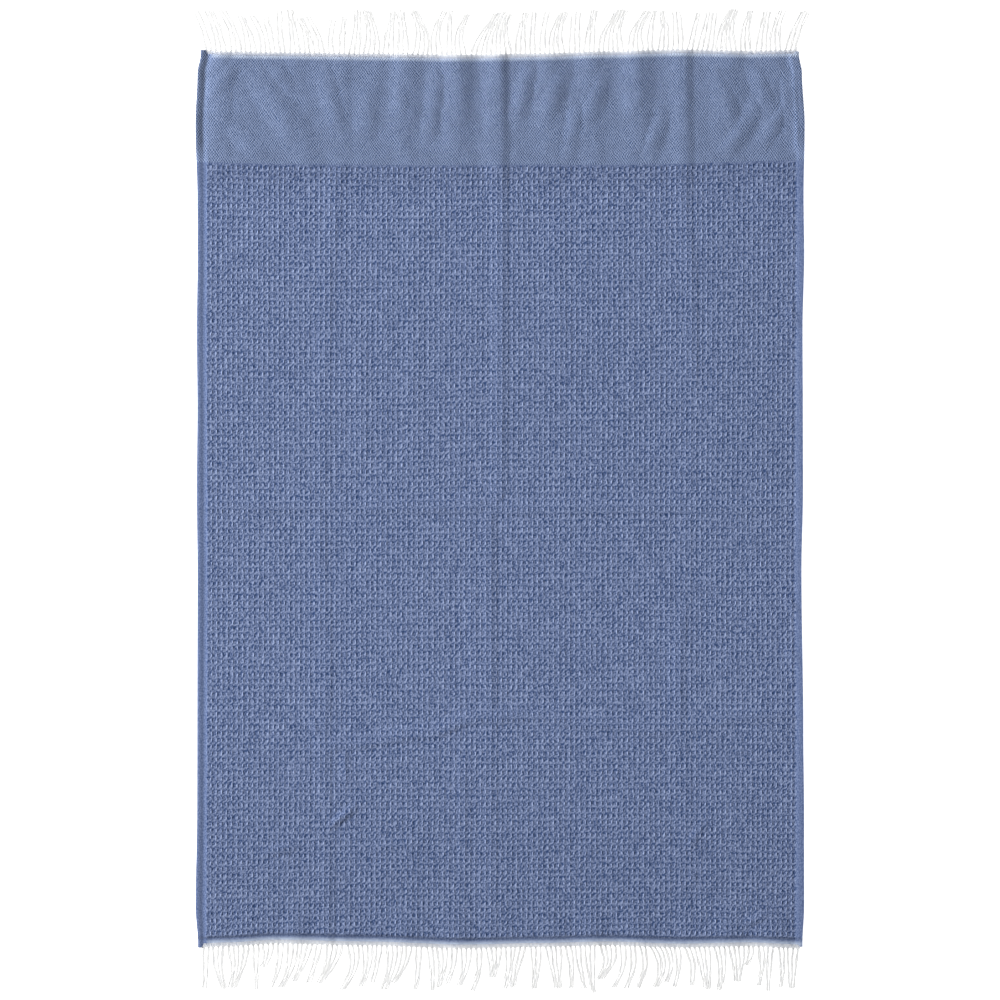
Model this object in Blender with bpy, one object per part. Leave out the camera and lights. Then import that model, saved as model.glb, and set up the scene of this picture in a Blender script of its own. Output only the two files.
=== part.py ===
"""A hammam towel laid out flat: one woven cloth, and a fringed heading strip at each end.

Units are metres. X runs across the towel, Y along it towards the twill band, and Z up from the
surface that it lies on. The origin is the middle of the towel's footprint.

The cloth is one sheet, thicker in its waffle field than in its twill band, selvedges and end rows.
It keeps the soft ridges of the creases it was folded along, and ripples near both ends. Each fringe
is a narrow heading strip whose outer wall carries locks of warp yarn, lying on the surface.
"""

from typing import Callable, NamedTuple, Sequence

import bmesh
import bpy
import numpy as np

MM = 0.001

# The cloth
FIELD_THICKNESS = 2.4 * MM  # waffle weave
PLAIN_THICKNESS = 1.4 * MM  # twill band, selvedges and end rows
SELVEDGE = 13 * MM  # plain strip along each long side
END_ROWS = 4 * MM  # plain rows below the waffle field
THICKNESS_STEP = 3 * MM  # run over which the thickness changes
BAND_FOOT = 555 * MM  # the Y where the twill band meets the waffle field

# The soft ridges left by folding, and the ripples near the ends
CREASE_HALF_WIDTH = 17 * MM
RIDGE_LINES = (-1.0, -0.5, 0.0, 0.5, 1.0)  # mesh lines over a crease, in half widths
RIPPLE_TOP_REACH = 240 * MM  # from the top end down to where the ripples have died out
RIPPLE_BOTTOM_REACH = 95 * MM
WIDEST_CELL = 62 * MM
LONGEST_CELL = 120 * MM

# The fringe
HEADING_GAP = 0.35 * MM  # parts the heading strip from the cloth's end
HEADING_DEPTH = 8 * MM
HEADING_THICKNESS = 1.4 * MM
FARTHEST_TIP = 813 * MM  # the longest locks end at this distance from the middle
LOCK_ROOT_WIDTH = 3.9 * MM
LOCK_TIP_WIDTH = 1.9 * MM
LOCK_ROOT_HEIGHT = 1.4 * MM
LOCK_TIP_HEIGHT = 1.1 * MM
CLOSEST_LOCKS = 2.9 * MM  # distance between the middles of two locks that are drawn together
LOCK_SECTIONS = (0.0, 0.18, 0.42, 0.68, 1.0)  # shares of a lock's length

CLOTH_COLOUR = (0.155, 0.215, 0.345, 1.0)
YARN_COLOUR = (0.90, 0.90, 0.88, 1.0)


class SideRow(NamedTuple):
    """Where the two selvedges stand at one place along the towel, in millimetres."""

    y: float
    left: float
    right: float


class EndRow(NamedTuple):
    """Where the two ends of the cloth stand at one place across the towel, in millimetres."""

    x: float
    top: float
    bottom: float


class CreaseRow(NamedTuple):
    """One point of a crease: how far along it, where it stands and how high, in millimetres."""

    along: float
    across: float
    height: float


class Ripple(NamedTuple):
    """A ripple that runs in from the ends of the cloth, in millimetres."""

    x: float
    half_width: float
    top_height: float
    bottom_height: float


class Tuft(NamedTuple):
    """Locks that lie together: how many, and in millimetres how their tips lie.

    lean is the sideways way from the roots' middle to the tips' middle, bow the sideways swing
    half way, and short how far the tips stop before the farthest tip. gather is 0 for locks that
    stay as far apart as their roots, and 1 for locks drawn together at their tips.
    """

    locks: int
    lean: float
    short: float
    gather: float
    bow: float


class FringeEnd(NamedTuple):
    """One fringed end: its node's name, the way it points along Y, its strip's ends and its tufts."""

    name: str
    way: int
    left: float
    right: float
    tufts: tuple[Tuft, ...]


SIDES = (
    SideRow(-731, -500.0, 497.4),
    SideRow(-670, -504.0, 500.2),
    SideRow(-512, -501.5, 500.1),
    SideRow(-380, -501.3, 498.8),
    SideRow(-115, -500.9, 495.8),
    SideRow(20, -502.0, 498.4),
    SideRow(150, -501.0, 498.1),
    SideRow(280, -502.0, 497.6),
    SideRow(412, -500.6, 500.3),
    SideRow(500, -501.0, 499.3),
    SideRow(620, -504.3, 501.1),
    SideRow(705, -501.0, 496.6),
    SideRow(736, -495.6, 491.6),
)

ENDS = (
    EndRow(-500, 737.0, -731.0),
    EndRow(-455, 734.5, -729.0),
    EndRow(-370, 733.0, -724.5),
    EndRow(-220, 731.0, -727.5),
    EndRow(-60, 729.0, -732.5),
    EndRow(60, 731.0, -730.0),
    EndRow(175, 734.5, -727.5),
    EndRow(295, 737.5, -731.0),
    EndRow(410, 735.5, -729.0),
    EndRow(500, 737.0, -732.5),
)

LONG_CREASES = (
    (  # left
        CreaseRow(-735, -284, 1.0),
        CreaseRow(-560, -286, 0.5),
        CreaseRow(-380, -291, 0.9),
        CreaseRow(-270, -285, 0.6),
        CreaseRow(-60, -295, 0.7),
        CreaseRow(160, -292, 0.3),
        CreaseRow(360, -284, 0.7),
        CreaseRow(500, -272, 0.6),
        CreaseRow(560, -262, 0.8),
        CreaseRow(740, -260, 1.0),
    ),
    (  # centre
        CreaseRow(-735, -15, 0.5),
        CreaseRow(-420, -16, 0.6),
        CreaseRow(-330, -16, 1.0),
        CreaseRow(-30, -17, 1.0),
        CreaseRow(20, 1, 1.0),
        CreaseRow(500, 2, 1.2),
        CreaseRow(560, -1, 2.4),
        CreaseRow(740, -2, 3.6),
    ),
    (  # right
        CreaseRow(-735, 306, 0.3),
        CreaseRow(-420, 304, 0.4),
        CreaseRow(-330, 295, 1.1),
        CreaseRow(-220, 298, 1.0),
        CreaseRow(-140, 306, 0.3),
        CreaseRow(150, 316, 0.2),
        CreaseRow(230, 318, 0.7),
        CreaseRow(340, 316, 0.8),
        CreaseRow(500, 305, 0.9),
        CreaseRow(580, 304, 2.0),
        CreaseRow(740, 302, 2.8),
    ),
)

CROSS_CREASES = (
    (  # middle
        CreaseRow(-500, -12, 1.0),
        CreaseRow(-300, -13, 1.0),
        CreaseRow(-60, -14, 1.5),
        CreaseRow(-20, -14, 0.9),
        CreaseRow(20, -16, 1.4),
        CreaseRow(240, -15, 1.3),
        CreaseRow(330, -14, 0.6),
        CreaseRow(400, -14, 1.0),
        CreaseRow(500, -14, 0.6),
    ),
    (  # lower
        CreaseRow(-330, -414, 0.0),
        CreaseRow(-253, -404, 1.2),
        CreaseRow(-120, -386, 1.6),
        CreaseRow(-40, -362, 1.6),
        CreaseRow(60, -356, 1.1),
        CreaseRow(150, -370, 1.3),
        CreaseRow(260, -382, 1.1),
        CreaseRow(330, -370, 0.6),
        CreaseRow(400, -360, 1.0),
        CreaseRow(500, -352, 0.5),
    ),
)

RIPPLES = (
    Ripple(-446, 34, 1.4, 0.9),
    Ripple(-338, 26, 0.8, 1.2),
    Ripple(-157, 32, 2.4, 1.2),
    Ripple(-72, 34, 3.8, 1.6),
    Ripple(80, 36, 2.4, 0.8),
    Ripple(149, 32, 2.6, 1.4),
    Ripple(225, 34, 3.2, 1.0),
    Ripple(441, 38, 1.6, 1.8),
)

TOP_TUFTS = (
    Tuft(2, -21.9, 4, 0.3, 3),
    Tuft(3, -20, 3, 0.4, 3),
    Tuft(3, -23, 3, 0.5, 6),
    Tuft(3, -16, 11, 0.6, 3),
    Tuft(2, -19, 11, 0.3, 6),
    Tuft(2, -12, 14, 0.1, 1),
    Tuft(2, -6, 3, 0.3, -1),
    Tuft(3, -8, 1, 0.8, 1),
    Tuft(3, -17, 14, 0.7, 4),
    Tuft(2, -23, 14, 0.5, 5),
    Tuft(2, 3, 18, 0.2, -4),
    Tuft(2, 5, 14, 0.4, -1),
    Tuft(3, 6, 2, 0.8, 2),
    Tuft(4, -8, 3, 0.8, 6),
    Tuft(3, 9, 4, 0.9, -2),
    Tuft(3, -4, 2, 0.6, 2),
    Tuft(4, -10, 3, 0.9, 8),
    Tuft(3, 12, 4, 0.8, -8),
    Tuft(2, 2, 3, 0.7, -1),
    Tuft(3, 10, 9, 0.9, -9),
    Tuft(9, 20, 5, 0.9, -6),
    Tuft(3, 8, 6, 0.8, -3),
    Tuft(2, 3, 4, 0.4, -2),
    Tuft(2, 8, 5, 0.4, -3),
    Tuft(4, 12, 5, 0.8, -8),
    Tuft(3, 3, 6, 0.3, -1),
    Tuft(3, 9, 2, 0.8, -2),
    Tuft(6, 18, 1, 0.9, -8),
    Tuft(4, 19, 4, 0.9, -8),
    Tuft(2, 8, 3, 0.8, -4),
    Tuft(3, 0, 3, 0.8, 3),
    Tuft(3, -2, 4, 0.4, 2),
    Tuft(2, 15, 6, 0.7, -1),
    Tuft(4, 12, 6, 0.5, 0),
    Tuft(5, 13, 0, 0.9, -7),
    Tuft(3, 7, 3, 0.9, -5),
    Tuft(3, 11, 4, 0.6, -2),
    Tuft(3, 11, 3, 0.6, -5),
    Tuft(3, 24.7, 4, 0.5, -4),
)

BOTTOM_TUFTS = (
    Tuft(2, -2, 7, 0.6, 0),
    Tuft(3, 9, 6, 0.9, -5),
    Tuft(5, -9, 7, 1.0, 4),
    Tuft(2, 1, 6, 0.8, 0),
    Tuft(3, -7, 42, 0.8, 3),
    Tuft(2, -13, 9, 0.8, 4),
    Tuft(3, -19, 8, 0.8, 6),
    Tuft(3, -22, 18, 0.9, 3),
    Tuft(2, -19, 16, 0.6, 1),
    Tuft(4, -25, 16, 0.9, 6),
    Tuft(3, -17, 5, 0.9, 11),
    Tuft(3, -10, 10, 0.9, 5),
    Tuft(2, -12, 16, 0.7, 2),
    Tuft(3, -14, 5, 0.8, 6),
    Tuft(3, -22, 16, 0.9, 6),
    Tuft(2, -6, 6, 0.7, 1),
    Tuft(2, 5, 4, 0.9, 3),
    Tuft(3, -4, 9, 0.9, 4),
    Tuft(2, -12, 14, 0.8, 5),
    Tuft(3, -11, 11, 0.9, 4),
    Tuft(2, -9, 3, 0.9, 5),
    Tuft(4, -3, 25, 0.9, 3),
    Tuft(2, -6, 6, 0.8, 3),
    Tuft(3, -15, 8, 0.9, 0),
    Tuft(3, -3, 6, 0.9, 2),
    Tuft(4, 9, 7, 0.9, 0),
    Tuft(2, 6, 8, 0.8, 3),
    Tuft(2, 12, 7, 0.8, -2),
    Tuft(3, 6, 0, 0.9, -2),
    Tuft(4, -12, 22, 0.9, 9),
    Tuft(2, -14, 8, 0.7, 8),
    Tuft(2, -9, 8, 0.7, 6),
    Tuft(2, -7, 8, 0.8, 8),
    Tuft(3, 2, 9, 0.9, 11),
    Tuft(2, -1, 18, 0.9, 8),
    Tuft(2, -4, 9, 0.8, 5),
    Tuft(2, 8, 12, 0.6, 6),
    Tuft(4, 10, 6, 0.9, 1),
    Tuft(3, 1, 4, 0.9, 5),
    Tuft(4, 2, 18, 0.9, 2),
    Tuft(2, -8, 45, 0.8, 3),
    Tuft(2, -3, 12, 0.8, 3),
    Tuft(2, -4, 3, 0.8, -1),
    Tuft(2, 0, 10, 0.9, 3),
    Tuft(3, -2, 7, 0.8, -1),
)

FRINGE_ENDS = (
    FringeEnd("fringe_top", 1, -490 * MM, 489 * MM, TOP_TUFTS),
    FringeEnd("fringe_bottom", -1, -495 * MM, 494 * MM, BOTTOM_TUFTS),
)

Line = Callable[[np.ndarray], np.ndarray]


def smooth(share: np.ndarray) -> np.ndarray:
    """0 below 0, 1 above 1, and a soft step between."""
    share = np.clip(share, 0.0, 1.0)
    return share * share * (3.0 - 2.0 * share)


def curve(places: Sequence[float], values: Sequence[float]) -> Line:
    """A soft curve, in metres, through a table's places and values in millimetres."""
    knots = np.array(places) * MM
    heights = np.array(values) * MM

    def at(place: np.ndarray) -> np.ndarray:
        place = np.clip(place, knots[0], knots[-1])
        first = np.clip(np.searchsorted(knots, place) - 1, 0, len(knots) - 2)
        share = (place - knots[first]) / (knots[first + 1] - knots[first])
        return heights[first] + (heights[first + 1] - heights[first]) * smooth(share)

    return at


def shifted(line: Line, by: float) -> Line:
    """The same line, moved by this much."""
    return lambda place: line(place) + by


def level(value: float) -> Line:
    """A straight line at one value."""
    return lambda place: np.full_like(place, value)


left_edge = curve([row.y for row in SIDES], [row.left for row in SIDES])
right_edge = curve([row.y for row in SIDES], [row.right for row in SIDES])
top_edge = curve([row.x for row in ENDS], [row.top for row in ENDS])
bottom_edge = curve([row.x for row in ENDS], [row.bottom for row in ENDS])


def crease_path(rows: tuple[CreaseRow, ...]) -> Line:
    """Where a crease stands, at each place along it."""
    return curve([row.along for row in rows], [row.across for row in rows])


def crease_height(rows: tuple[CreaseRow, ...]) -> Line:
    """How high a crease stands, at each place along it."""
    return curve([row.along for row in rows], [row.height for row in rows])


def bump(offset: np.ndarray) -> np.ndarray:
    """A soft ridge: 1 in its middle, and 0 from an offset of 1 on."""
    return np.clip(1.0 - offset * offset, 0.0, 1.0) ** 2


def lift(x: np.ndarray, y: np.ndarray) -> np.ndarray:
    """How high the underside of the cloth stands off the surface."""
    height = np.zeros_like(x)
    for rows in LONG_CREASES:
        offset = (x - crease_path(rows)(y)) / CREASE_HALF_WIDTH
        height = np.maximum(height, crease_height(rows)(y) * bump(offset))
    for rows in CROSS_CREASES:
        offset = (y - crease_path(rows)(x)) / CREASE_HALF_WIDTH
        height = np.maximum(height, crease_height(rows)(x) * bump(offset))
    from_top = 1.0 - smooth((top_edge(x) - y) / RIPPLE_TOP_REACH)
    from_bottom = 1.0 - smooth((y - bottom_edge(x)) / RIPPLE_BOTTOM_REACH)
    for ripple in RIPPLES:
        across = bump((x - ripple.x * MM) / (ripple.half_width * MM))
        along = ripple.top_height * from_top + ripple.bottom_height * from_bottom
        height = np.maximum(height, along * MM * across)
    return height


def thickness(x: np.ndarray, y: np.ndarray) -> np.ndarray:
    """The cloth's thickness: full in the waffle field, less in the plain weave around it."""
    from_side = np.minimum(x - left_edge(y), right_edge(y) - x) - SELVEDGE
    from_band = BAND_FOOT - y
    from_end = y - bottom_edge(x) - END_ROWS
    inside = np.minimum(np.minimum(from_side, from_band), from_end)
    share = smooth(inside / THICKNESS_STEP + 0.5)
    return PLAIN_THICKNESS + (FIELD_THICKNESS - PLAIN_THICKNESS) * share


def filled(lines: list[Line], widest: float) -> list[Line]:
    """The lines in order, with more between any two that stand wider apart than this."""
    middle = np.zeros(1)
    lines = sorted(lines, key=lambda line: float(line(middle)[0]))
    result = [lines[0]]
    for before, after in zip(lines, lines[1:]):
        gap = float((after(middle) - before(middle))[0])
        parts = int(np.ceil(gap / widest))
        for part in range(1, parts):
            share = part / parts
            result.append(
                lambda place, a=before, b=after, s=share: a(place) * (1 - s) + b(place) * s
            )
        result.append(after)
    return result


def columns() -> list[Line]:
    """The cloth's lengthwise mesh lines, left to right: X at each Y."""
    lines = []
    for inset in (0.0, SELVEDGE - THICKNESS_STEP / 2, SELVEDGE + THICKNESS_STEP / 2):
        lines += [shifted(left_edge, inset), shifted(right_edge, -inset)]
    for rows in LONG_CREASES:
        lines += [shifted(crease_path(rows), CREASE_HALF_WIDTH * k) for k in RIDGE_LINES]
    for ripple in RIPPLES:
        lines += [level((ripple.x + ripple.half_width * k) * MM) for k in (-1, 0, 1)]
    return filled(lines, WIDEST_CELL)


def rows_across() -> list[Line]:
    """The cloth's crosswise mesh lines, bottom to top: Y at each X."""
    lines = [top_edge, shifted(top_edge, -RIPPLE_TOP_REACH / 4), bottom_edge]
    for inset in (END_ROWS - THICKNESS_STEP / 2, END_ROWS + THICKNESS_STEP / 2):
        lines.append(shifted(bottom_edge, inset))
    for share in (0.5, 1.0):
        lines.append(shifted(bottom_edge, RIPPLE_BOTTOM_REACH * share))
    for side in (-0.5, 0.5):
        lines.append(level(BAND_FOOT + THICKNESS_STEP * side))
    for rows in CROSS_CREASES:
        lines += [shifted(crease_path(rows), CREASE_HALF_WIDTH * k) for k in RIDGE_LINES]
    return filled(lines, LONGEST_CELL)


def cloth_grid() -> tuple[np.ndarray, np.ndarray]:
    """X and Y of the cloth's mesh points, one row of them for each crosswise line."""
    lengthwise = columns()
    crosswise = rows_across()
    start = np.array([float(line(np.zeros(1))[0]) for line in lengthwise])
    y = np.array([line(start) for line in crosswise])
    x = np.array([line(y[:, i]) for i, line in enumerate(lengthwise)]).T
    return x, np.array([line(x[j]) for j, line in enumerate(crosswise)])


def add_object(name: str, shape: bmesh.types.BMesh, colour: tuple, roughness: float) -> None:
    """Puts a finished mesh in the scene under this name, with a material of its own."""
    mesh = bpy.data.meshes.new(name)
    shape.to_mesh(mesh)
    shape.free()
    material = bpy.data.materials.new(name)
    material.use_nodes = True
    surface = material.node_tree.nodes["Principled BSDF"]
    surface.inputs["Base Color"].default_value = colour
    surface.inputs["Roughness"].default_value = roughness
    surface.inputs["Metallic"].default_value = 0.0
    mesh.materials.append(material)
    bpy.context.scene.collection.objects.link(bpy.data.objects.new(name, mesh))


def build_cloth(x: np.ndarray, y: np.ndarray) -> None:
    """The cloth: its underside as a grid, extruded up to its upper side."""
    z = lift(x, y)
    shape = bmesh.new()
    grid = [
        [shape.verts.new((x[j, i], y[j, i], z[j, i])) for i in range(x.shape[1])]
        for j in range(x.shape[0])
    ]
    for below, above in zip(grid, grid[1:]):
        for i in range(len(below) - 1):
            shape.faces.new((below[i], below[i + 1], above[i + 1], above[i]))
    raised = bmesh.ops.extrude_face_region(
        shape, geom=shape.faces[:], use_keep_orig=True
    )
    upper = [item for item in raised["geom"] if isinstance(item, bmesh.types.BMVert)]
    places = np.array([vert.co for vert in upper])
    for vert, rise in zip(upper, thickness(places[:, 0], places[:, 1])):
        vert.co.z += float(rise)
    bmesh.ops.recalc_face_normals(shape, faces=shape.faces)
    add_object("cloth", shape, CLOTH_COLOUR, 0.95)


def lock_sections(end: FringeEnd) -> list[np.ndarray]:
    """For each lock, rows of the middle's X, the share of its length, its width and its tip's Y."""
    count = sum(tuft.locks for tuft in end.tufts)
    pitch = (end.right - end.left) / count
    share = np.array(LOCK_SECTIONS)
    width = LOCK_ROOT_WIDTH + (LOCK_TIP_WIDTH - LOCK_ROOT_WIDTH) * share
    locks = []
    for tuft in end.tufts:
        middle = end.left + pitch * (len(locks) + tuft.locks / 2)
        spacing = pitch + (CLOSEST_LOCKS - pitch) * tuft.gather * smooth(share)
        centre = middle + tuft.lean * MM * share + tuft.bow * MM * np.sin(np.pi * share)
        for k in range(tuft.locks):
            place = k - (tuft.locks - 1) / 2
            cut_back = (tuft.short + int(abs(place))) * MM
            tip = np.full_like(share, end.way * (FARTHEST_TIP - cut_back))
            locks.append(np.column_stack((centre + spacing * place, share, width, tip)))
    return locks


def build_fringe(end: FringeEnd, edge_x: np.ndarray, edge_y: np.ndarray) -> None:
    """A heading strip along one end of the cloth, its locks growing out of its outer wall."""
    edge_z = lift(edge_x, edge_y)
    shape = bmesh.new()

    def point(x: float, out: float, up: float) -> bmesh.types.BMVert:
        """A point beside the cloth's end, this far out from it and up from its underside."""
        y = float(np.interp(x, edge_x, edge_y)) + end.way * out
        return shape.verts.new((x, y, float(np.interp(x, edge_x, edge_z)) + up))

    inner, outer = HEADING_GAP, HEADING_GAP + HEADING_DEPTH
    locks = lock_sections(end)
    pitch = (end.right - end.left) / len(locks)
    seams = [end.left + pitch * i for i in range(len(locks) + 1)]
    below = [point(x, inner, 0.0) for x in seams]
    above = [point(x, inner, HEADING_THICKNESS) for x in seams]
    ends = [
        (point(x, outer, 0.0), point(x, outer, HEADING_THICKNESS)) for x in (seams[0], seams[-1])
    ]
    low_before, high_before = ends[0]
    shape.faces.new((below[0], above[0], high_before, low_before))
    for i, lock in enumerate(locks):
        x, _, width, _ = lock[0]
        foot = [point(x - width / 2, outer, 0.0), point(x + width / 2, outer, 0.0)]
        crown = point(x, outer, LOCK_ROOT_HEIGHT)
        shape.faces.new((below[i], below[i + 1], above[i + 1], above[i]))
        shape.faces.new((above[i], above[i + 1], crown, high_before))
        shape.faces.new((below[i], low_before, foot[0]))
        shape.faces.new((below[i], foot[0], foot[1], below[i + 1]))
        shape.faces.new((low_before, high_before, crown, foot[0]))
        ring = [foot[0], foot[1], crown]
        start = crown.co.y
        for x, share, width, tip in lock[1:]:
            y = start + (tip - start) * share
            rise = LOCK_ROOT_HEIGHT + (LOCK_TIP_HEIGHT - LOCK_ROOT_HEIGHT) * share
            corners = ((x - width / 2, y, 0.0), (x + width / 2, y, 0.0), (x, y, rise))
            following = [shape.verts.new(corner) for corner in corners]
            for k in range(3):
                n = (k + 1) % 3
                shape.faces.new((ring[k], ring[n], following[n], following[k]))
            ring = following
        shape.faces.new(ring)
        low_before, high_before = foot[1], crown
    low_end, high_end = ends[1]
    shape.faces.new((below[-1], low_before, low_end))
    shape.faces.new((above[-1], high_end, high_before))
    shape.faces.new((low_before, high_before, high_end, low_end))
    shape.faces.new((below[-1], low_end, high_end, above[-1]))
    bmesh.ops.recalc_face_normals(shape, faces=shape.faces)
    add_object(end.name, shape, YARN_COLOUR, 0.9)


def main() -> None:
    """Clears the scene and builds the cloth and its two fringes."""
    for old in list(bpy.data.objects):
        bpy.data.objects.remove(old, do_unlink=True)
    x, y = cloth_grid()
    build_cloth(x, y)
    for end in FRINGE_ENDS:
        row = -1 if end.way > 0 else 0
        build_fringe(end, x[row], y[row])


main()
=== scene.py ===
"""A hammam towel laid out flat, seen from straight above.

The cloth is one waffle-woven sheet with a twill band along its top, cut for the mesh's sake into
five slabs that meet edge to edge. Each end carries a heading of warp yarns and a knotless fringe.
Lengths are metres unless a name or a docstring says millimetres.
"""

import logging
from dataclasses import dataclass, field
from enum import Enum
from typing import NamedTuple, Sequence

import bpy
import numpy as np
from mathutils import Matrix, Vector


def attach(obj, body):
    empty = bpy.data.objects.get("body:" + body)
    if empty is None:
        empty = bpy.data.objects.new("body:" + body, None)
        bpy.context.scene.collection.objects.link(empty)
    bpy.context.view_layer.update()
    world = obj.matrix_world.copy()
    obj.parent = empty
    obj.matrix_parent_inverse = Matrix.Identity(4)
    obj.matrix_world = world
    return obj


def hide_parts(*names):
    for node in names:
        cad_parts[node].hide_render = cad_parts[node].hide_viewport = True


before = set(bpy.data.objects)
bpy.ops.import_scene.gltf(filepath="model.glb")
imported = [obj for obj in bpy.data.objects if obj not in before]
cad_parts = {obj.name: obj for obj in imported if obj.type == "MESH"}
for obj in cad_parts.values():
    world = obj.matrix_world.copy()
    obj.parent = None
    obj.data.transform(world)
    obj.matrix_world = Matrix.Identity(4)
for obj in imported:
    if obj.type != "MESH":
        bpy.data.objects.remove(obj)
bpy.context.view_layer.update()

LOG = logging.getLogger("towel")
Array = np.ndarray

MM = 0.001
PIXEL = 1.65 * MM  # one photograph pixel on the surface that the towel lies on
PHOTO_CENTRE = (500.5, 500.0)  # the pixel that shows the origin

WEAVE_COLUMNS = 114  # pits across the waffle field
WEAVE_ROWS = 121  # pits along it
SLABS = 4  # slabs that the waffle field is cut into

# Where the mesh has columns in the selvedges, out from the first pit and from the last one.
LEFT_STATIONS = (-1.0, -0.9, -0.8, -0.65, -0.5, -0.38, -0.25, -0.12)
RIGHT_STATIONS = (0.2, 0.55, 0.9, 1.0)

MAP_EDGE = 0.002  # the margin at the sides of a finish's own map

WARP_WHITE = (0.68, 0.68, 0.675, 1.0)  # the undyed warp
WARP_PALE = (0.58, 0.66, 0.79, 1.0)  # the warp where the cloth's dye has run into it
STROKE_TURN = -0.5  # the lean of the yarn's fine strokes, in radians
YARN_GRAIN = 1.6 * MM  # the size of the yarn's light and dark spots
WHITE = (1.0, 1.0, 1.0, 1.0)


class SideRow(NamedTuple):
    """Where the two selvedges stand at one place along the towel, in millimetres."""

    y: float
    left: float
    right: float


class EndRow(NamedTuple):
    """Where the two ends of the cloth stand at one place across the towel, in millimetres."""

    x: float
    top: float
    bottom: float


class CreaseRow(NamedTuple):
    """One point of a crease: how far along it, where it stands and how high, in millimetres."""

    along: float
    across: float
    height: float


class Ripple(NamedTuple):
    """A ripple that runs in from the ends of the cloth, in millimetres."""

    x: float
    half_width: float
    top_height: float
    bottom_height: float


class PaintedShadingRow(NamedTuple):
    """Painted light and shade of the cloth at a place near its side, beside the field and beside the
    band.
    """

    across: float
    field: float
    band: float


class Wrinkle(NamedTuple):
    """A soft ridge between two photograph pixels, its half width and height in millimetres."""

    start_px: float
    start_py: float
    end_px: float
    end_py: float
    half_width: float
    height: float


class Tuft(NamedTuple):
    """Locks that lie together, in millimetres: lean of the tips, how short, gather 0-1, bow."""

    locks: int
    lean: float
    short: float
    gather: float
    bow: float


SIDES = (
    SideRow(-731, -500.0, 497.4),
    SideRow(-670, -504.0, 500.2),
    SideRow(-512, -501.5, 500.1),
    SideRow(-380, -501.3, 498.8),
    SideRow(-115, -500.9, 495.8),
    SideRow(20, -502.0, 498.4),
    SideRow(150, -501.0, 498.1),
    SideRow(280, -502.0, 497.6),
    SideRow(412, -500.6, 500.3),
    SideRow(500, -501.0, 499.3),
    SideRow(620, -504.3, 501.1),
    SideRow(705, -501.0, 496.6),
    SideRow(736, -495.6, 491.6),
)

# Painted light and shade along the selvedges, as factors on the cloth's colour. Left: -1 is the outer
# edge and 0 the first column. Right: 0 is the last column and 1 the edge.
LEFT_PAINTED_SHADING = (
    PaintedShadingRow(-1.0, 1.20, 0.90),
    PaintedShadingRow(-0.8, 1.14, 0.76),
    PaintedShadingRow(-0.65, 0.98, 0.60),
    PaintedShadingRow(-0.5, 0.80, 0.50),
    PaintedShadingRow(-0.38, 0.84, 0.46),
    PaintedShadingRow(-0.25, 1.20, 0.74),
    PaintedShadingRow(-0.12, 1.42, 1.30),
    PaintedShadingRow(0.0, 1.56, 1.50),
    PaintedShadingRow(0.167, 1.40, 1.44),
    PaintedShadingRow(0.333, 1.08, 1.34),
    PaintedShadingRow(0.5, 0.90, 1.26),
    PaintedShadingRow(1.0, 1.00, 1.12),
    PaintedShadingRow(2.0, 1.00, 1.00),
)

RIGHT_PAINTED_SHADING = (
    PaintedShadingRow(-2.0, 1.00, 1.00),
    PaintedShadingRow(-1.2, 1.00, 1.14),
    PaintedShadingRow(-0.8, 1.00, 1.50),
    PaintedShadingRow(-0.5, 1.00, 1.72),
    PaintedShadingRow(-0.333, 1.20, 1.48),
    PaintedShadingRow(-0.167, 1.45, 1.20),
    PaintedShadingRow(0.0, 1.60, 1.10),
    PaintedShadingRow(0.12, 1.46, 1.08),
    PaintedShadingRow(0.25, 1.26, 1.06),
    PaintedShadingRow(0.38, 1.16, 1.06),
    PaintedShadingRow(0.5, 1.16, 1.06),
    PaintedShadingRow(0.65, 1.34, 1.12),
    PaintedShadingRow(0.8, 1.95, 1.26),
    PaintedShadingRow(1.0, 2.10, 1.40),
)

ENDS = (
    EndRow(-500, 737.0, -731.0),
    EndRow(-455, 734.5, -729.0),
    EndRow(-370, 733.0, -724.5),
    EndRow(-220, 731.0, -727.5),
    EndRow(-60, 729.0, -732.5),
    EndRow(60, 731.0, -730.0),
    EndRow(175, 734.5, -727.5),
    EndRow(295, 737.5, -731.0),
    EndRow(410, 735.5, -729.0),
    EndRow(500, 737.0, -732.5),
)

LONG_CREASES = (
    (  # left
        CreaseRow(-735, -284, 1.0),
        CreaseRow(-560, -286, 0.5),
        CreaseRow(-380, -291, 0.9),
        CreaseRow(-270, -285, 0.6),
        CreaseRow(-60, -295, 0.7),
        CreaseRow(160, -292, 0.3),
        CreaseRow(360, -284, 0.7),
        CreaseRow(500, -272, 0.6),
        CreaseRow(560, -262, 0.8),
        CreaseRow(740, -260, 1.0),
    ),
    (  # centre
        CreaseRow(-735, -15, 0.5),
        CreaseRow(-420, -16, 0.6),
        CreaseRow(-330, -16, 1.0),
        CreaseRow(-30, -17, 1.0),
        CreaseRow(20, 1, 1.0),
        CreaseRow(500, 2, 1.2),
        CreaseRow(560, -1, 2.4),
        CreaseRow(740, -2, 3.6),
    ),
    (  # right
        CreaseRow(-735, 306, 0.3),
        CreaseRow(-420, 304, 0.4),
        CreaseRow(-330, 295, 1.1),
        CreaseRow(-220, 298, 1.0),
        CreaseRow(-140, 306, 0.3),
        CreaseRow(150, 316, 0.2),
        CreaseRow(230, 318, 0.7),
        CreaseRow(340, 316, 0.8),
        CreaseRow(500, 305, 0.9),
        CreaseRow(580, 304, 2.0),
        CreaseRow(740, 302, 2.8),
    ),
)

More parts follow.
